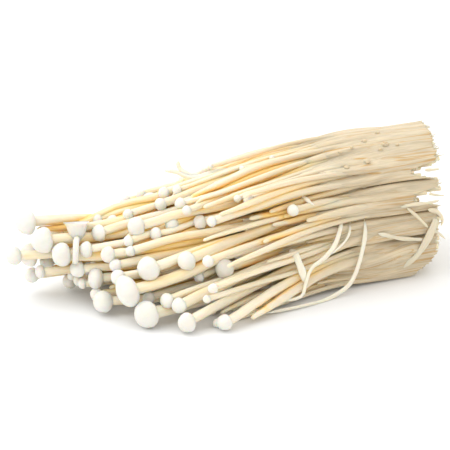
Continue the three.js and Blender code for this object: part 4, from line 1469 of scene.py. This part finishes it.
@dataclass
class Upturned:
    """A mushroom that stands up among the others: a flared, open cap with a thin rim on a thin stem."""

    clump: Clump = Clump.MIDDLE
    middle: Pair = (-43.3, 0.4)  # x and y of the cap's foot
    lean: Pair = (0.05, 0.28)
    z: tuple[float, ...] = (18.4, 18.9, 19.8, 20.8, 21.7, 22.5, 23.1, 23.0, 22.6, 22.1, 21.8)
    radii: tuple[float, ...] = (0.9, 1.5, 2.2, 2.6, 2.8, 3.1, 3.7, 3.6, 2.6, 1.2, 0.2)
    stem: tuple[Triple, ...] = (
        (-45.3, -5.0, 13.6), (-45.1, -5.0, 16.6), (-44.7, -3.9, 18.9), (-43.6, -0.6, 19.2))
    stem_rings: int = 12
    stem_radius: float = 0.85
    sides: int = 28
    wave: float = 0.07
    wave_radius: float = 4.0  # the wave grows with the square of the radius, and is full at this one
    index: int = 640  # the number that its grain is made with

    def build(self, clump: Clump, surface: Surface) -> None:
        """Adds the cap and its stem to a surface, where the clump is theirs.

        Args:
            clump: the clump.
            surface: what it's added to.
        """
        if clump is not self.clump:
            return
        z, radii = np.array(self.z), np.array(self.radii)
        up = (z - z[0])[:, None]
        path = np.column_stack([np.array(self.middle) + np.array(self.lean) * up, z])
        angle = turns(self.sides)[None]
        ripple = np.sin(3 * angle + 1) + 0.6 * np.sin(5 * angle)
        wave = 1 + self.wave * ripple * (radii[:, None] / self.wave_radius) ** 2
        stem = smooth_path(np.array(self.stem), np.linspace(0, 1, self.stem_rings))
        for middles, way, size in (
                (path, unit(np.array([*self.lean, 1.0])), radii[:, None] * wave),
                (stem, tangents(stem), np.full(self.stem_rings, self.stem_radius))):
            rings = ring_grid(middles, way, size, self.sides, up=np.array([1.0, 0.0, 0.0]))
            grain = grain_of(middles, np.full(len(middles), 2.0), self.sides, self.index)
            surface.add(rings, grain=grain, near=0.0, wide=0.0)


@dataclass
class Rail:
    """A clump's stems on a fine row of x: their middles, radii and ends, and the clump's middle and hull."""

    lines: Lines
    growth: Growth
    end_x: float
    step: float = 0.5
    supports: int = 48
    evened: int = 13
    reaching: float = 12.0  # stems that end within this of the row's end count for the clump's middle
    ending: float = 4.0  # the hull leaves a stem out from this far behind its tip
    hull_share: tuple[tuple[float, ...], ...] = ((0, 16, 30, 44), (0.2, 0.5, 0.86, 1.0))  # x, share of it
    x: Array = field(init=False)
    middles: Array = field(init=False)
    radii: Array = field(init=False)
    centre: Array = field(init=False)
    support: Array = field(init=False)

    def __post_init__(self) -> None:
        """Looks the stems up on the row, and evens the clump's middle and hull out along it."""
        growth = self.growth
        self.x = np.arange(growth.first_station_x, self.end_x - 1, -self.step)
        at = (growth.first_station_x - self.x) / growth.station_step
        station = np.clip(at.astype(int), 1, growth.stations - 3)
        t = np.clip(at - station, 0, 1)[None, :, None]
        before, start, end, beyond = (self.lines.line[:, station + k] for k in (-1, 0, 1, 2))
        self.middles = cubic(t, start, (end - before) / 2, end, (beyond - start) / 2)
        self.radii = mix(self.lines.radius[:, station], self.lines.radius[:, station + 1], t[..., 0])
        self.middles[:, at < 1] = self.lines.line[:, :1]
        long = self.lines.tip[:, 0] < self.end_x + self.reaching
        self.centre = self.even(self.middles[long].mean(axis=0))
        angles = turns(self.supports)
        offset = (self.middles - self.centre[None]) @ np.stack([np.cos(angles), np.sin(angles)])
        ended = self.lines.tip[:, :1] > self.x[None] - self.ending
        share = np.interp(self.x, *self.hull_share)[:, None]
        self.support = self.even(np.where(ended[..., None], -9.0, offset).max(axis=0)) * share

    def even(self, values: Array) -> Array:
        """Evens values out along the row by a moving mean.

        Args:
            values: one or more for each place.

        Returns:
            The means, of the same shape.
        """
        half = self.evened // 2
        padded = np.concatenate([np.repeat(values[:1], half, 0), values, np.repeat(values[-1:], half, 0)])
        total = np.cumsum(np.concatenate([np.zeros_like(padded[:1]), padded]), axis=0)
        return (total[self.evened:] - total[:-self.evened]) / self.evened

    def look_up(self, values: Array, x: Array) -> Array:
        """Takes values on the row at other x, straight between two of its places.

        Args:
            values: one or more for each place.
            x: where they are taken.

        Returns:
            The values there.
        """
        at = np.clip((self.x[0] - x) / self.step, 0, len(self.x) - 1.001)
        place = at.astype(int)
        share = (at - place).reshape(at.shape + (1,) * (values.ndim - 1))
        return mix(values[place], values[place + 1], share)


@dataclass
class Base:
    """The grown-together base: a clump's stems run into one body, and rise out of it towards the caps."""

    lines: Lines
    form: StemForm
    shelter: Shelter
    end_x: float = 2.0
    face_x: float = 62.0  # where the cut's middle is looked up
    sides: int = 560
    rings: int = 74
    even_sides: float = 0.6  # how far the sides crowd less at the ends of the clump's long section
    section_place: int = 20  # the place on the row where that section is taken
    start_size: Pair = (8.0, 3.0)  # the half axes of the oval with which the search for the cut starts
    start_rounds: int = 3
    start_inset: float = 0.4  # how far in from the stems' cut ends the body's side starts
    face_inset: float = 0.5  # and its face lies
    blend: float = 0.16  # how softly stems run into each other
    least_radius: float = 0.02  # a thinner stem takes no part in the body
    least_facing: float = 0.2  # the least cosine of the angle to a direction of the hull that counts
    wall: float = 4.0  # how steeply the body falls off beside a stem
    fill: Pair = (0.9, -1.2)  # how far it fills up beyond the stems' middles: in the base, and before it
    skin: Pair = (-0.16, 2.2)  # how deep it lies in the stems, in the base and before it
    skin_x: Pair = (42.0, 12.0)
    skin_stray: float = 16.0  # how much the x at which stems rise from it differs among them
    tip_length: float = 2.0  # over which a stem's own part of it closes at the tip
    taper: float = 0.62  # how much smaller it gets towards its end among the stems
    taper_x: Pair = (30.0, 6.0)
    root_blend: float = 0.5  # how softly the grain goes over from one stem to the next
    ground: float = 0.03
    crease_width: int = 7
    face_rings: int = 9
    face_share: Pair = (0.08, 0.94)  # where the face's first and last rings are, on the way to the outline
    sides_a_stem: int = 3  # how many sides have the same draw for the ragged cut

    def reach(self, rail: Rail, x: Array, turn: Array) -> tuple[Array, ...]:
        """How far the body reaches from the clump's middle, at places x and directions.

        Each stem reaches to d cos + sqrt(r^2 - (d sin)^2), where d is the way from the clump's middle to its
        own, and beside it that falls off steeply. The hull of the stems' middles reaches to the least, over
        some directions, of support over the cosine of the angle to each. The body's reach is the soft maximum
        of all, k log(sum exp(reach / k)), less a share towards the body's end among the stems.

        Args:
            rail: the clump's stems.
            x: places along the bunch, (n,).
            turn: the directions, (n,).

        Returns:
            The reach, (n,), the y and z that it comes to, (n, 2), and the root of the stem there, (n, 2).
        """
        centre = rail.look_up(rail.centre, x)
        middles = rail.look_up(rail.middles.transpose(1, 0, 2), x)
        radii = rail.look_up(rail.radii.T, x)
        radii = radii * (1 + self.form.swell * step_over(x, *self.form.swell_x))[:, None]
        left = (x[:, None] - rail.lines.tip[None, :, 0]) / self.tip_length
        radii = radii * np.sqrt(np.clip(left, 0, 1)) + 1e-3
        offset = middles - centre[:, None]
        towards = np.stack([np.cos(turn), np.sin(turn)], -1)
        along = np.einsum("nmk,nk->nm", offset, towards)
        beside = np.abs(offset[..., 0] * towards[:, None, 1] - offset[..., 1] * towards[:, None, 0]) / radii
        start = self.skin_x[0] + self.skin_stray * (chance(rail.lines.index, 31) - 0.5)
        rising = smooth((start - x[:, None]) / (self.skin_x[0] - self.skin_x[1]))
        section = np.sqrt(np.clip(1 - beside ** 2, 0, 1)) - self.wall * np.clip(beside - 1, 0, None)
        stems = np.where(radii > self.least_radius, along + radii * section - mix(*self.skin, rising), -99.0)
        facing = np.cos(turn[:, None] - turns(rail.supports)[None])
        support = rail.look_up(rail.support, x) + mix(*self.fill, step_over(x, *self.skin_x))[:, None]
        least = self.least_facing
        hull = np.where(facing > least, support / np.maximum(facing, least), np.inf).min(axis=1)
        every = np.column_stack([stems, hull])
        most = every.max(axis=1)
        reach = most + self.blend * np.log(np.exp((every - most[:, None]) / self.blend).sum(axis=1))
        reach *= 1 - self.taper * step_over(x, *self.taper_x)
        weight = np.exp((stems - stems.max(axis=1, keepdims=True)) / self.root_blend)
        weight /= weight.sum(axis=1, keepdims=True)
        place = centre + reach[:, None] * towards
        back = place - ((middles - rail.lines.root[None]) * weight[..., None]).sum(axis=1)
        return reach, place, back

    def build(self, clump: Clump, surface: Surface) -> None:
        """Adds a clump's body to a surface, with how deep each place lies under the mean of those round it,
        which the finish paints as crease shade.

        Args:
            clump: the clump.
            surface: what it's added to.
        """
        rail = Rail(self.lines.members(clump), self.form.growth, self.end_x)
        phase = turns(self.sides)
        size = rail.support[self.section_place][[0, rail.supports // 4]] ** self.even_sides
        turn = np.arctan2(size[1] * np.sin(phase), size[0] * np.cos(phase))[::-1]
        centre = rail.look_up(rail.centre, np.array([self.face_x]))[0]
        start_y = centre[0] + self.start_size[0] * np.cos(turn)
        start_z = centre[1] + self.start_size[1] * np.sin(turn)
        for _ in range(self.start_rounds):
            start_x = self.form.cut.at(start_y, start_z, np.arange(self.sides) // self.sides_a_stem)
            start_x = start_x - self.start_inset
            _, place, _ = self.reach(rail, start_x, turn)
            start_y, start_z = place.T
        share = np.linspace(0, 1, self.rings)[:, None]
        x = start_x[None] - (start_x[None] - self.end_x) * share
        reach, place, back = self.reach(rail, x.ravel(), np.tile(turn, self.rings))
        reach = reach.reshape(x.shape)
        # how deep each place lies under its neighbours, by which the finish paints crease shade
        steps = range(-self.crease_width, self.crease_width + 1)
        crease = sum(np.roll(reach, k, axis=1) for k in steps) / len(steps) - reach
        place, back = place.reshape(*x.shape, 2), back.reshape(*x.shape, 2)
        rings = np.concatenate([x[..., None], place], -1)
        rings[..., 2] = np.maximum(rings[..., 2], self.ground)
        face = self.face(centre, place[0])
        grain = np.concatenate([self.form.growth.root_x - x[..., None] + 91.0 * clump.number, back], -1)
        one = np.ones(face.shape[:2])
        # the face gets middling near and wide values for the painted golden shade, and the cut's colour
        values = {name: (one / 2, value) for name, value in self.shelter.values(rings).items()}
        values |= {"crease": (0 * one, crease), "cut": (one, 0 * crease)}
        values["grain"] = (face[..., [1, 0, 2]], grain)
        surface.add(np.concatenate([face, rings]),
                    **{name: np.concatenate(parts) for name, parts in values.items()})

    def face(self, centre: Array, outline: Array) -> Array:
        """The cut end's face: rings from its middle almost to its outline, each point where the cut is there.

        Args:
            centre: the middle's y, z.
            outline: the y, z of the body's first ring.

        Returns:
            The rings' vertices, (rings, sides, 3).
        """
        share = np.linspace(*self.face_share, self.face_rings)[:, None, None]
        place = mix(centre, outline[None], share)
        index = np.arange(place[..., 0].size).reshape(place.shape[:2]) // self.sides_a_stem
        x = self.form.cut.at(*np.moveaxis(place, -1, 0), index) - self.face_inset
        return np.concatenate([x[..., None], place], -1)


@dataclass(frozen=True)
class Strip:
    """A torn strand: the clump that it hangs from, its points, its width and its thickness against that."""

    clump: Clump
    points: tuple[Triple, ...]
    width: float
    flat: float = 0.6
    taper: float = 0.6  # how much narrower the loose end is
    face: Triple = (0.0, -1.0, 0.0)  # the way that its broad side looks


@dataclass
class Torn:
    """Strands and strips that have torn loose, and lie on the bunch or stick out of it."""

    rings: int = 26
    sides: int = 8
    # how much painted golden shade the strands get
    near: float = 0.3
    wide: float = 0.15
    ground: float = 0.02
    first_index: int = 500
    strips: tuple[Strip, ...] = (
        # the hook on top, with a fork at its end
        Strip(Clump.TOP, ((14, 6, 32), (0, 8, 31.6), (-6.5, 8, 30.6), (-9, 9, 31), (-12, 10, 32.3),
                          (-15, 10, 32.8)), 2.1, 0.7, 0.3, (0, -0.6, 1)),
        Strip(Clump.TOP, ((-5, 8, 30.3), (-8, 9, 31.2), (-9.9, 10.2, 32.4), (-10.6, 10.8, 33.6),
                          (-10.7, 11, 35.0)), 1.7, 0.7, 0.3),
        # long loose strands across the front
        Strip(Clump.MIDDLE, ((37.8, -13.2, 20), (37.2, -15.5, 17.6), (35.4, -17.6, 11.6), (30.8, -19.5, 2.9),
                             (24.9, -21.5, 0.9), (14.3, -25, 0.9), (3.2, -27, 1.0)), 1.5, 0.45, 0.5),
        Strip(Clump.MIDDLE, ((31.2, -12.8, 22), (28.6, -17, 18.5), (25.9, -19.4, 15), (22.6, -20.8, 12.7),
                             (18.2, -22.6, 10.9), (15.9, -24.2, 7.4), (14.7, -25.2, 4.4), (8.3, -26, 3.4)),
              1.6, 0.45, 0.6),
        Strip(Clump.MIDDLE, ((33.4, -13.2, 19.9), (31.5, -17, 17.4), (27.5, -19.6, 14.8),
                             (24.3, -20.3, 13.2)), 0.9, 0.5, 0.6),
        Strip(Clump.LOWER, ((13.2, -18.5, 15.8), (14.1, -21.2, 14), (15.3, -23, 10.1), (15.9, -23.6, 7.4)),
              2.3, 0.3, 0.2),
        Strip(Clump.TOP, ((18.4, -10.6, 28.6), (19.4, -14.2, 28.4), (21.0, -16.3, 27.1)), 1.5, 0.3, 0.7),
        # curled hairs at the split
        Strip(Clump.MIDDLE, ((42.9, -9.5, 27.4), (43.2, -10.6, 28.8), (44.3, -10.8, 30.0),
                             (46.4, -10.6, 30.5), (49.6, -10.2, 30.8)), 0.4, 0.9, 0.3),
        Strip(Clump.MIDDLE, ((37.5, -10.2, 28.1), (39.4, -10.8, 29.2), (42.1, -10.4, 29.9)), 0.4, 0.9, 0.3),
        # torn pieces of the cut end
        Strip(Clump.LOWER, ((50.2, -15.0, 22.8), (53.1, -15.8, 20.1), (57.0, -15.2, 16.1)), 1.0, 0.5, 0.4),
        Strip(Clump.LOWER, ((60.2, -12.5, 18.9), (59.8, -14.0, 17.6), (57.9, -15.4, 14.4),
                            (55.6, -15.5, 10.3), (52.9, -14.9, 6.6), (49.1, -14.0, 4.2), (45.5, -13.0, 3.0)),
              2.5, 0.2, 0.5),
        Strip(Clump.LOWER, ((56.8, -15.2, 21.7), (60.5, -14.2, 20.0), (62.3, -13.0, 17.8),
                            (62.9, -12.5, 16.2), (62.6, -12.3, 15.0)), 1.4, 0.35, 0.5),
        Strip(Clump.LOWER, ((58.9, -14.6, 14.9), (61.5, -14.2, 13.1), (63.6, -13.6, 11.1)), 0.8, 0.5, 0.6),
        Strip(Clump.BOTTOM, ((41.5, -14.9, 15.9), (48.1, -15.6, 13.9), (55.5, -15.4, 12.6)), 1.3, 0.3, 0.2),
        Strip(Clump.MIDDLE, ((57.4, -14.0, 26.0), (60.4, -13.6, 25.1), (62.8, -13.2, 24.6)), 0.8, 0.5, 0.6),
        Strip(Clump.MIDDLE, ((48.1, -15.0, 23.3), (52.2, -15.3, 23.7), (56.7, -15.2, 23.7),
                             (60.4, -14.8, 23.8)), 1.2, 0.4, 0.5),
        Strip(Clump.TOP, ((56.6, -12.0, 32.7), (59.2, -11.5, 32.3), (61.9, -11.0, 32.2)), 1.0, 0.5, 0.6),
    )

    def build(self, clump: Clump, surface: Surface) -> None:
        """Adds the torn pieces of a clump to a surface.

        A strip is a flat oval along a smooth path, whose broad side looks the way of its face. It narrows to
        the loose end by the square of the way along it, closes over at both ends, and varies by a sine.

        Args:
            clump: the clump.
            surface: what it's added to.
        """
        shares = np.linspace(0, 1, self.rings)
        ends = np.sqrt(np.clip((1.01 - shares) / 0.08, 0, 1) * np.clip(shares / 0.12 + 0.03, 0, 1))
        for number, strip in enumerate(self.strips):
            if strip.clump is not clump:
                continue
            path = smooth_path(np.array(strip.points, float), shares)
            half = strip.width / 2 * (1 - strip.taper * shares ** 2)
            half = half * ends * (1 + 0.12 * np.sin(13 * shares + number))
            rings = ring_grid(path, tangents(path), half, self.sides, np.array(strip.face), strip.flat)
            rings[..., 2] = np.maximum(rings[..., 2], self.ground)
            grain = grain_of(path, half, self.sides, self.first_index + number)
            surface.add(rings, grain=grain, near=self.near, wide=self.wide)


@dataclass
class Bumps:
    """Small lumps that have grown on the base, and brown specks."""

    sides: int = 10
    rings: int = 7
    out: Triple = (0.0, -0.06, 0.135)  # how far their middles lie over the surface
    axis: Triple = (1.0, -0.15, -0.05)
    flat: float = 0.8
    dark: Pair = (0.08, 0.45)  # the crease values: a trace of the painted crease shade's colour on lumps, and brown on specks
    # their near and wide values, for the painted golden shade
    shade: float = 0.5
    first_index: int = 300
    # the clump, x, y, z, the radius and whether it's a speck
    rows: tuple[tuple[Clump, float, float, float, float, bool], ...] = (
        (Clump.TOP, 42.7, 0.0, 39.6, 0.8, False),
        (Clump.TOP, 48.5, 4.0, 39.4, 0.7, False),
        (Clump.TOP, 47.7, -3.0, 38.9, 1.1, False),
        (Clump.TOP, 51.1, -4.0, 38.7, 0.6, False),
        (Clump.TOP, 45.9, -5.0, 38.4, 0.7, False),
        (Clump.TOP, 37.7, -3.0, 39.2, 0.6, False),
        (Clump.TOP, 33.5, -5.0, 38.6, 0.7, False),
        (Clump.TOP, 40.5, -9.6, 36.9, 1.0, False),
        (Clump.TOP, 33.2, -9.6, 35.6, 0.8, False),
        (Clump.TOP, 26.0, -11.2, 34.5, 0.7, False),
        (Clump.LOWER, 58.2, -9.2, 9.2, 0.45, True),
        (Clump.MIDDLE, 36.5, -9.6, 28.6, 0.35, True),
        (Clump.BOTTOM, 53.5, -10.6, 9.8, 0.35, True),
    )

    def build(self, clump: Clump, surface: Surface) -> None:
        """Adds the lumps of a clump to a surface: balls that are sunk half into its first body.

        Each is at the vertex that is nearest to its place.

        Args:
            clump: the clump.
            surface: what it's added to.
        """
        turn = np.linspace(0.06, 0.94, self.rings) * np.pi
        body, axis = surface.vertices[0], np.array(self.axis)
        for number, (where, *place, radius, speck) in enumerate(self.rows):
            if where is not clump:
                continue
            middle = body[np.linalg.norm(body - place, axis=1).argmin()] + self.out
            path = middle - np.outer(np.cos(turn) * radius, axis)
            rings = ring_grid(path, axis, np.sin(turn)[::-1] * radius * self.flat, self.sides)
            grain = grain_of(path, turn, self.sides, self.first_index + number)
            surface.add(rings, grain=grain, near=self.shade, wide=self.shade, crease=self.dark[int(speck)])


@dataclass
class Fray:
    """Short fibres that stick out of the cut end."""

    lines: Lines
    cut: Cut
    per_root: int = 2
    length: Pair = (0.6, 2.6)
    width: float = 0.32
    narrowing: tuple[float, ...] = (1.0, 1.0, 0.7, 0.1)
    sides: int = 3
    stray: float = 1.2  # how far about a root they stand
    bend: float = 1.6
    sunk: float = 1.5  # how far they reach into the base
    ground: Pair = (0.4, 0.2)  # the least height of their feet, and of their ends
    # their near and wide values, for the painted golden shade, and their share of the cut's colour
    shade: float = 0.6
    first_index: int = 700

    def build(self, clump: Clump, surface: Surface) -> None:
        """Adds the fibres of a clump to a surface: three-sided spikes that bend away at random.

        Args:
            clump: the clump.
            surface: what it's added to.
        """
        radii = self.width / 2 * np.array(self.narrowing)
        for number in np.flatnonzero(self.lines.clump == clump.number):
            for fibre in range(self.per_root):
                draw = chance(number * self.per_root + fibre, np.array([71, 72, 73, 74, 75]))
                y, z = self.lines.root[number] + self.stray * (draw[:2] - 0.5)
                x = self.cut.at(y, z, number)
                length = mix(*self.length, draw[2] ** 3)
                way = np.array([1.0, *(self.bend * (draw[3:] - 0.5))]) * length
                steps = np.array([[-self.sunk, 0, 0], [0, 0, 0], way * [0.6, 0.3, 0.3], way])
                path = np.array([x, y, max(z, self.ground[0])]) + steps
                path[:, 0] = np.minimum(path[:, 0], self.cut.most)
                path[:, 2] = np.maximum(path[:, 2], self.ground[1])
                rings = ring_grid(path, np.array([1.0, 0, 0]), radii, self.sides)
                grain = grain_of(path, radii, self.sides, self.first_index + number)
                surface.add(rings, grain=grain, near=self.shade, wide=self.shade / 2, cut=self.shade)


@dataclass(frozen=True)
class Studio:
    """A white floor, soft lights, and a camera that looks at the bunch from its front, a little from above.

    Directions are an azimuth from -Y towards +X and an elevation, in degrees, and lengths are metres.
    """

    target: Triple = (-0.055, 0.0, 0.018)
    camera: Triple = (-18.0, 20.0, 0.45)  # azimuth, elevation and distance
    lens: float = 125.0
    sensor: float = 36.0
    clip: Pair = (0.01, 20.0)
    # each light's name, azimuth, elevation, distance, size and power
    lights: tuple[tuple[str, float, float, float, float, float], ...] = (
        ("key light", -100.0, 45.0, 0.42, 0.4, 0.62),
        ("top light", 180.0, 70.0, 1.0, 1.0, 1.7),
    )
    sky: float = 1.2
    floor_size: float = 6.0
    floor_z: float = -1e-5
    floor_colour: Colour = (0.86, 0.86, 0.855, 1)
    floor_roughness: float = 0.9

    def placed(self, name: str, data: bpy.types.ID | None, azimuth: float, elevation: float,
               distance: float) -> bpy.types.Object:
        """Adds a camera or a light that looks at the target.

        Args:
            name: its name.
            data: its own data.
            azimuth: the direction to it from the target.
            elevation: the same.
            distance: how far away it is.

        Returns:
            The object.
        """
        turn, rise = math.radians(azimuth), math.radians(elevation)
        back = Vector((math.sin(turn) * math.cos(rise), -math.cos(turn) * math.cos(rise), math.sin(rise)))
        made = bpy.data.objects.new(name, data)
        made.location = Vector(self.target) + back * distance
        made.rotation_euler = back.to_track_quat("Z", "Y").to_euler()
        bpy.context.scene.collection.objects.link(made)
        return made

    def floor(self) -> None:
        """Adds the floor, a plain white sheet."""
        half = self.floor_size / 2
        mesh = bpy.data.meshes.new("floor")
        corners = [(x * half, y * half, self.floor_z) for x, y in ((-1, -1), (1, -1), (1, 1), (-1, 1))]
        mesh.from_pydata(corners, [], [(0, 1, 2, 3)])
        graph = Graph("floor")
        graph.shader.inputs["Base Color"].default_value = self.floor_colour
        graph.shader.inputs["Roughness"].default_value = self.floor_roughness
        graph.shader.inputs["Specular IOR Level"].default_value = 0.0
        mesh.materials.append(graph.material)
        made = bpy.data.objects.new("floor", mesh)
        bpy.context.scene.collection.objects.link(made)

    def build(self) -> None:
        """Adds the camera, the lights, the sky and the floor."""
        scene = bpy.context.scene
        data = bpy.data.cameras.new("camera")
        data.lens, data.sensor_width = self.lens, self.sensor
        data.clip_start, data.clip_end = self.clip
        scene.camera = self.placed("camera", data, *self.camera)
        world = bpy.data.worlds.new("sky")
        world.use_nodes = True
        world.node_tree.nodes["Background"].inputs["Color"].default_value = (1, 1, 1, 1)
        world.node_tree.nodes["Background"].inputs["Strength"].default_value = self.sky
        scene.world = world
        for name, *direction, size, power in self.lights:
            light = bpy.data.lights.new(name, "AREA")
            light.size, light.energy = size, power
            self.placed(name, light, *direction)
        self.floor()
        scene.view_settings.view_transform = "Standard"


def declare(piece: bpy.types.Object, clump: Clump) -> None:
    """Sets a piece to ride on the bunch's body, and hides its clump's plain part in the frame.

    Args:
        piece: the piece.
        clump: the clump, which names the node.
    """
    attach(piece, BODY)
    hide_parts(clump.value)


def main() -> None:
    """Builds the pieces clump by clump, then the studio."""
    growth, cut = Growth(), Cut()
    mushrooms = growth.mushrooms()
    Settling(growth).settle(mushrooms)
    threads, stubs = Threads(growth).lines(mushrooms)
    Settling(growth, steps=40, most_y=31.0).settle(threads, mushrooms)
    every = Lines.joined([mushrooms, threads, stubs])
    # how crowded each place is, by which the finishes paint golden shade
    shelter = Shelter(growth, [mushrooms, threads])
    form = StemForm(growth, cut)
    thin = StemForm(growth, cut, neck=1.0, rings=20, sides=7, swell=0.3)
    stub = StemForm(growth, cut, neck=0.5, rings=4, sides=6)
    # the pieces of a clump: their name's end, slot, finish and makers
    kinds = (
        ("stems", Slot.STEM, STEM_FLESH.material(),
         (Stems(mushrooms, form, shelter), Stems(threads, thin, shelter))),
        ("caps", Slot.CAP, CAP_SKIN.material(),
         (Caps(mushrooms, form, shelter), Caps(threads, thin, shelter, sides=10, rings=7), Upturned())),
        ("base", Slot.BASE, BASE_FIBRE.material(),
         (Base(every, form, shelter), Stems(stubs, stub, shelter), Fray(every, cut), Bumps())),
        ("torn", Slot.STEM, TORN_FLESH.material(), (Torn(),)),
    )
    for clump in Clump:
        for what, slot, material, makers in kinds:
            surface = Surface()
            for maker in makers:
                maker.build(clump, surface)
            if surface.count:
                declare(surface.piece(f"{clump.value}_{what}", material), clump)
    Studio().build()


if __name__ == "__main__":
    main()
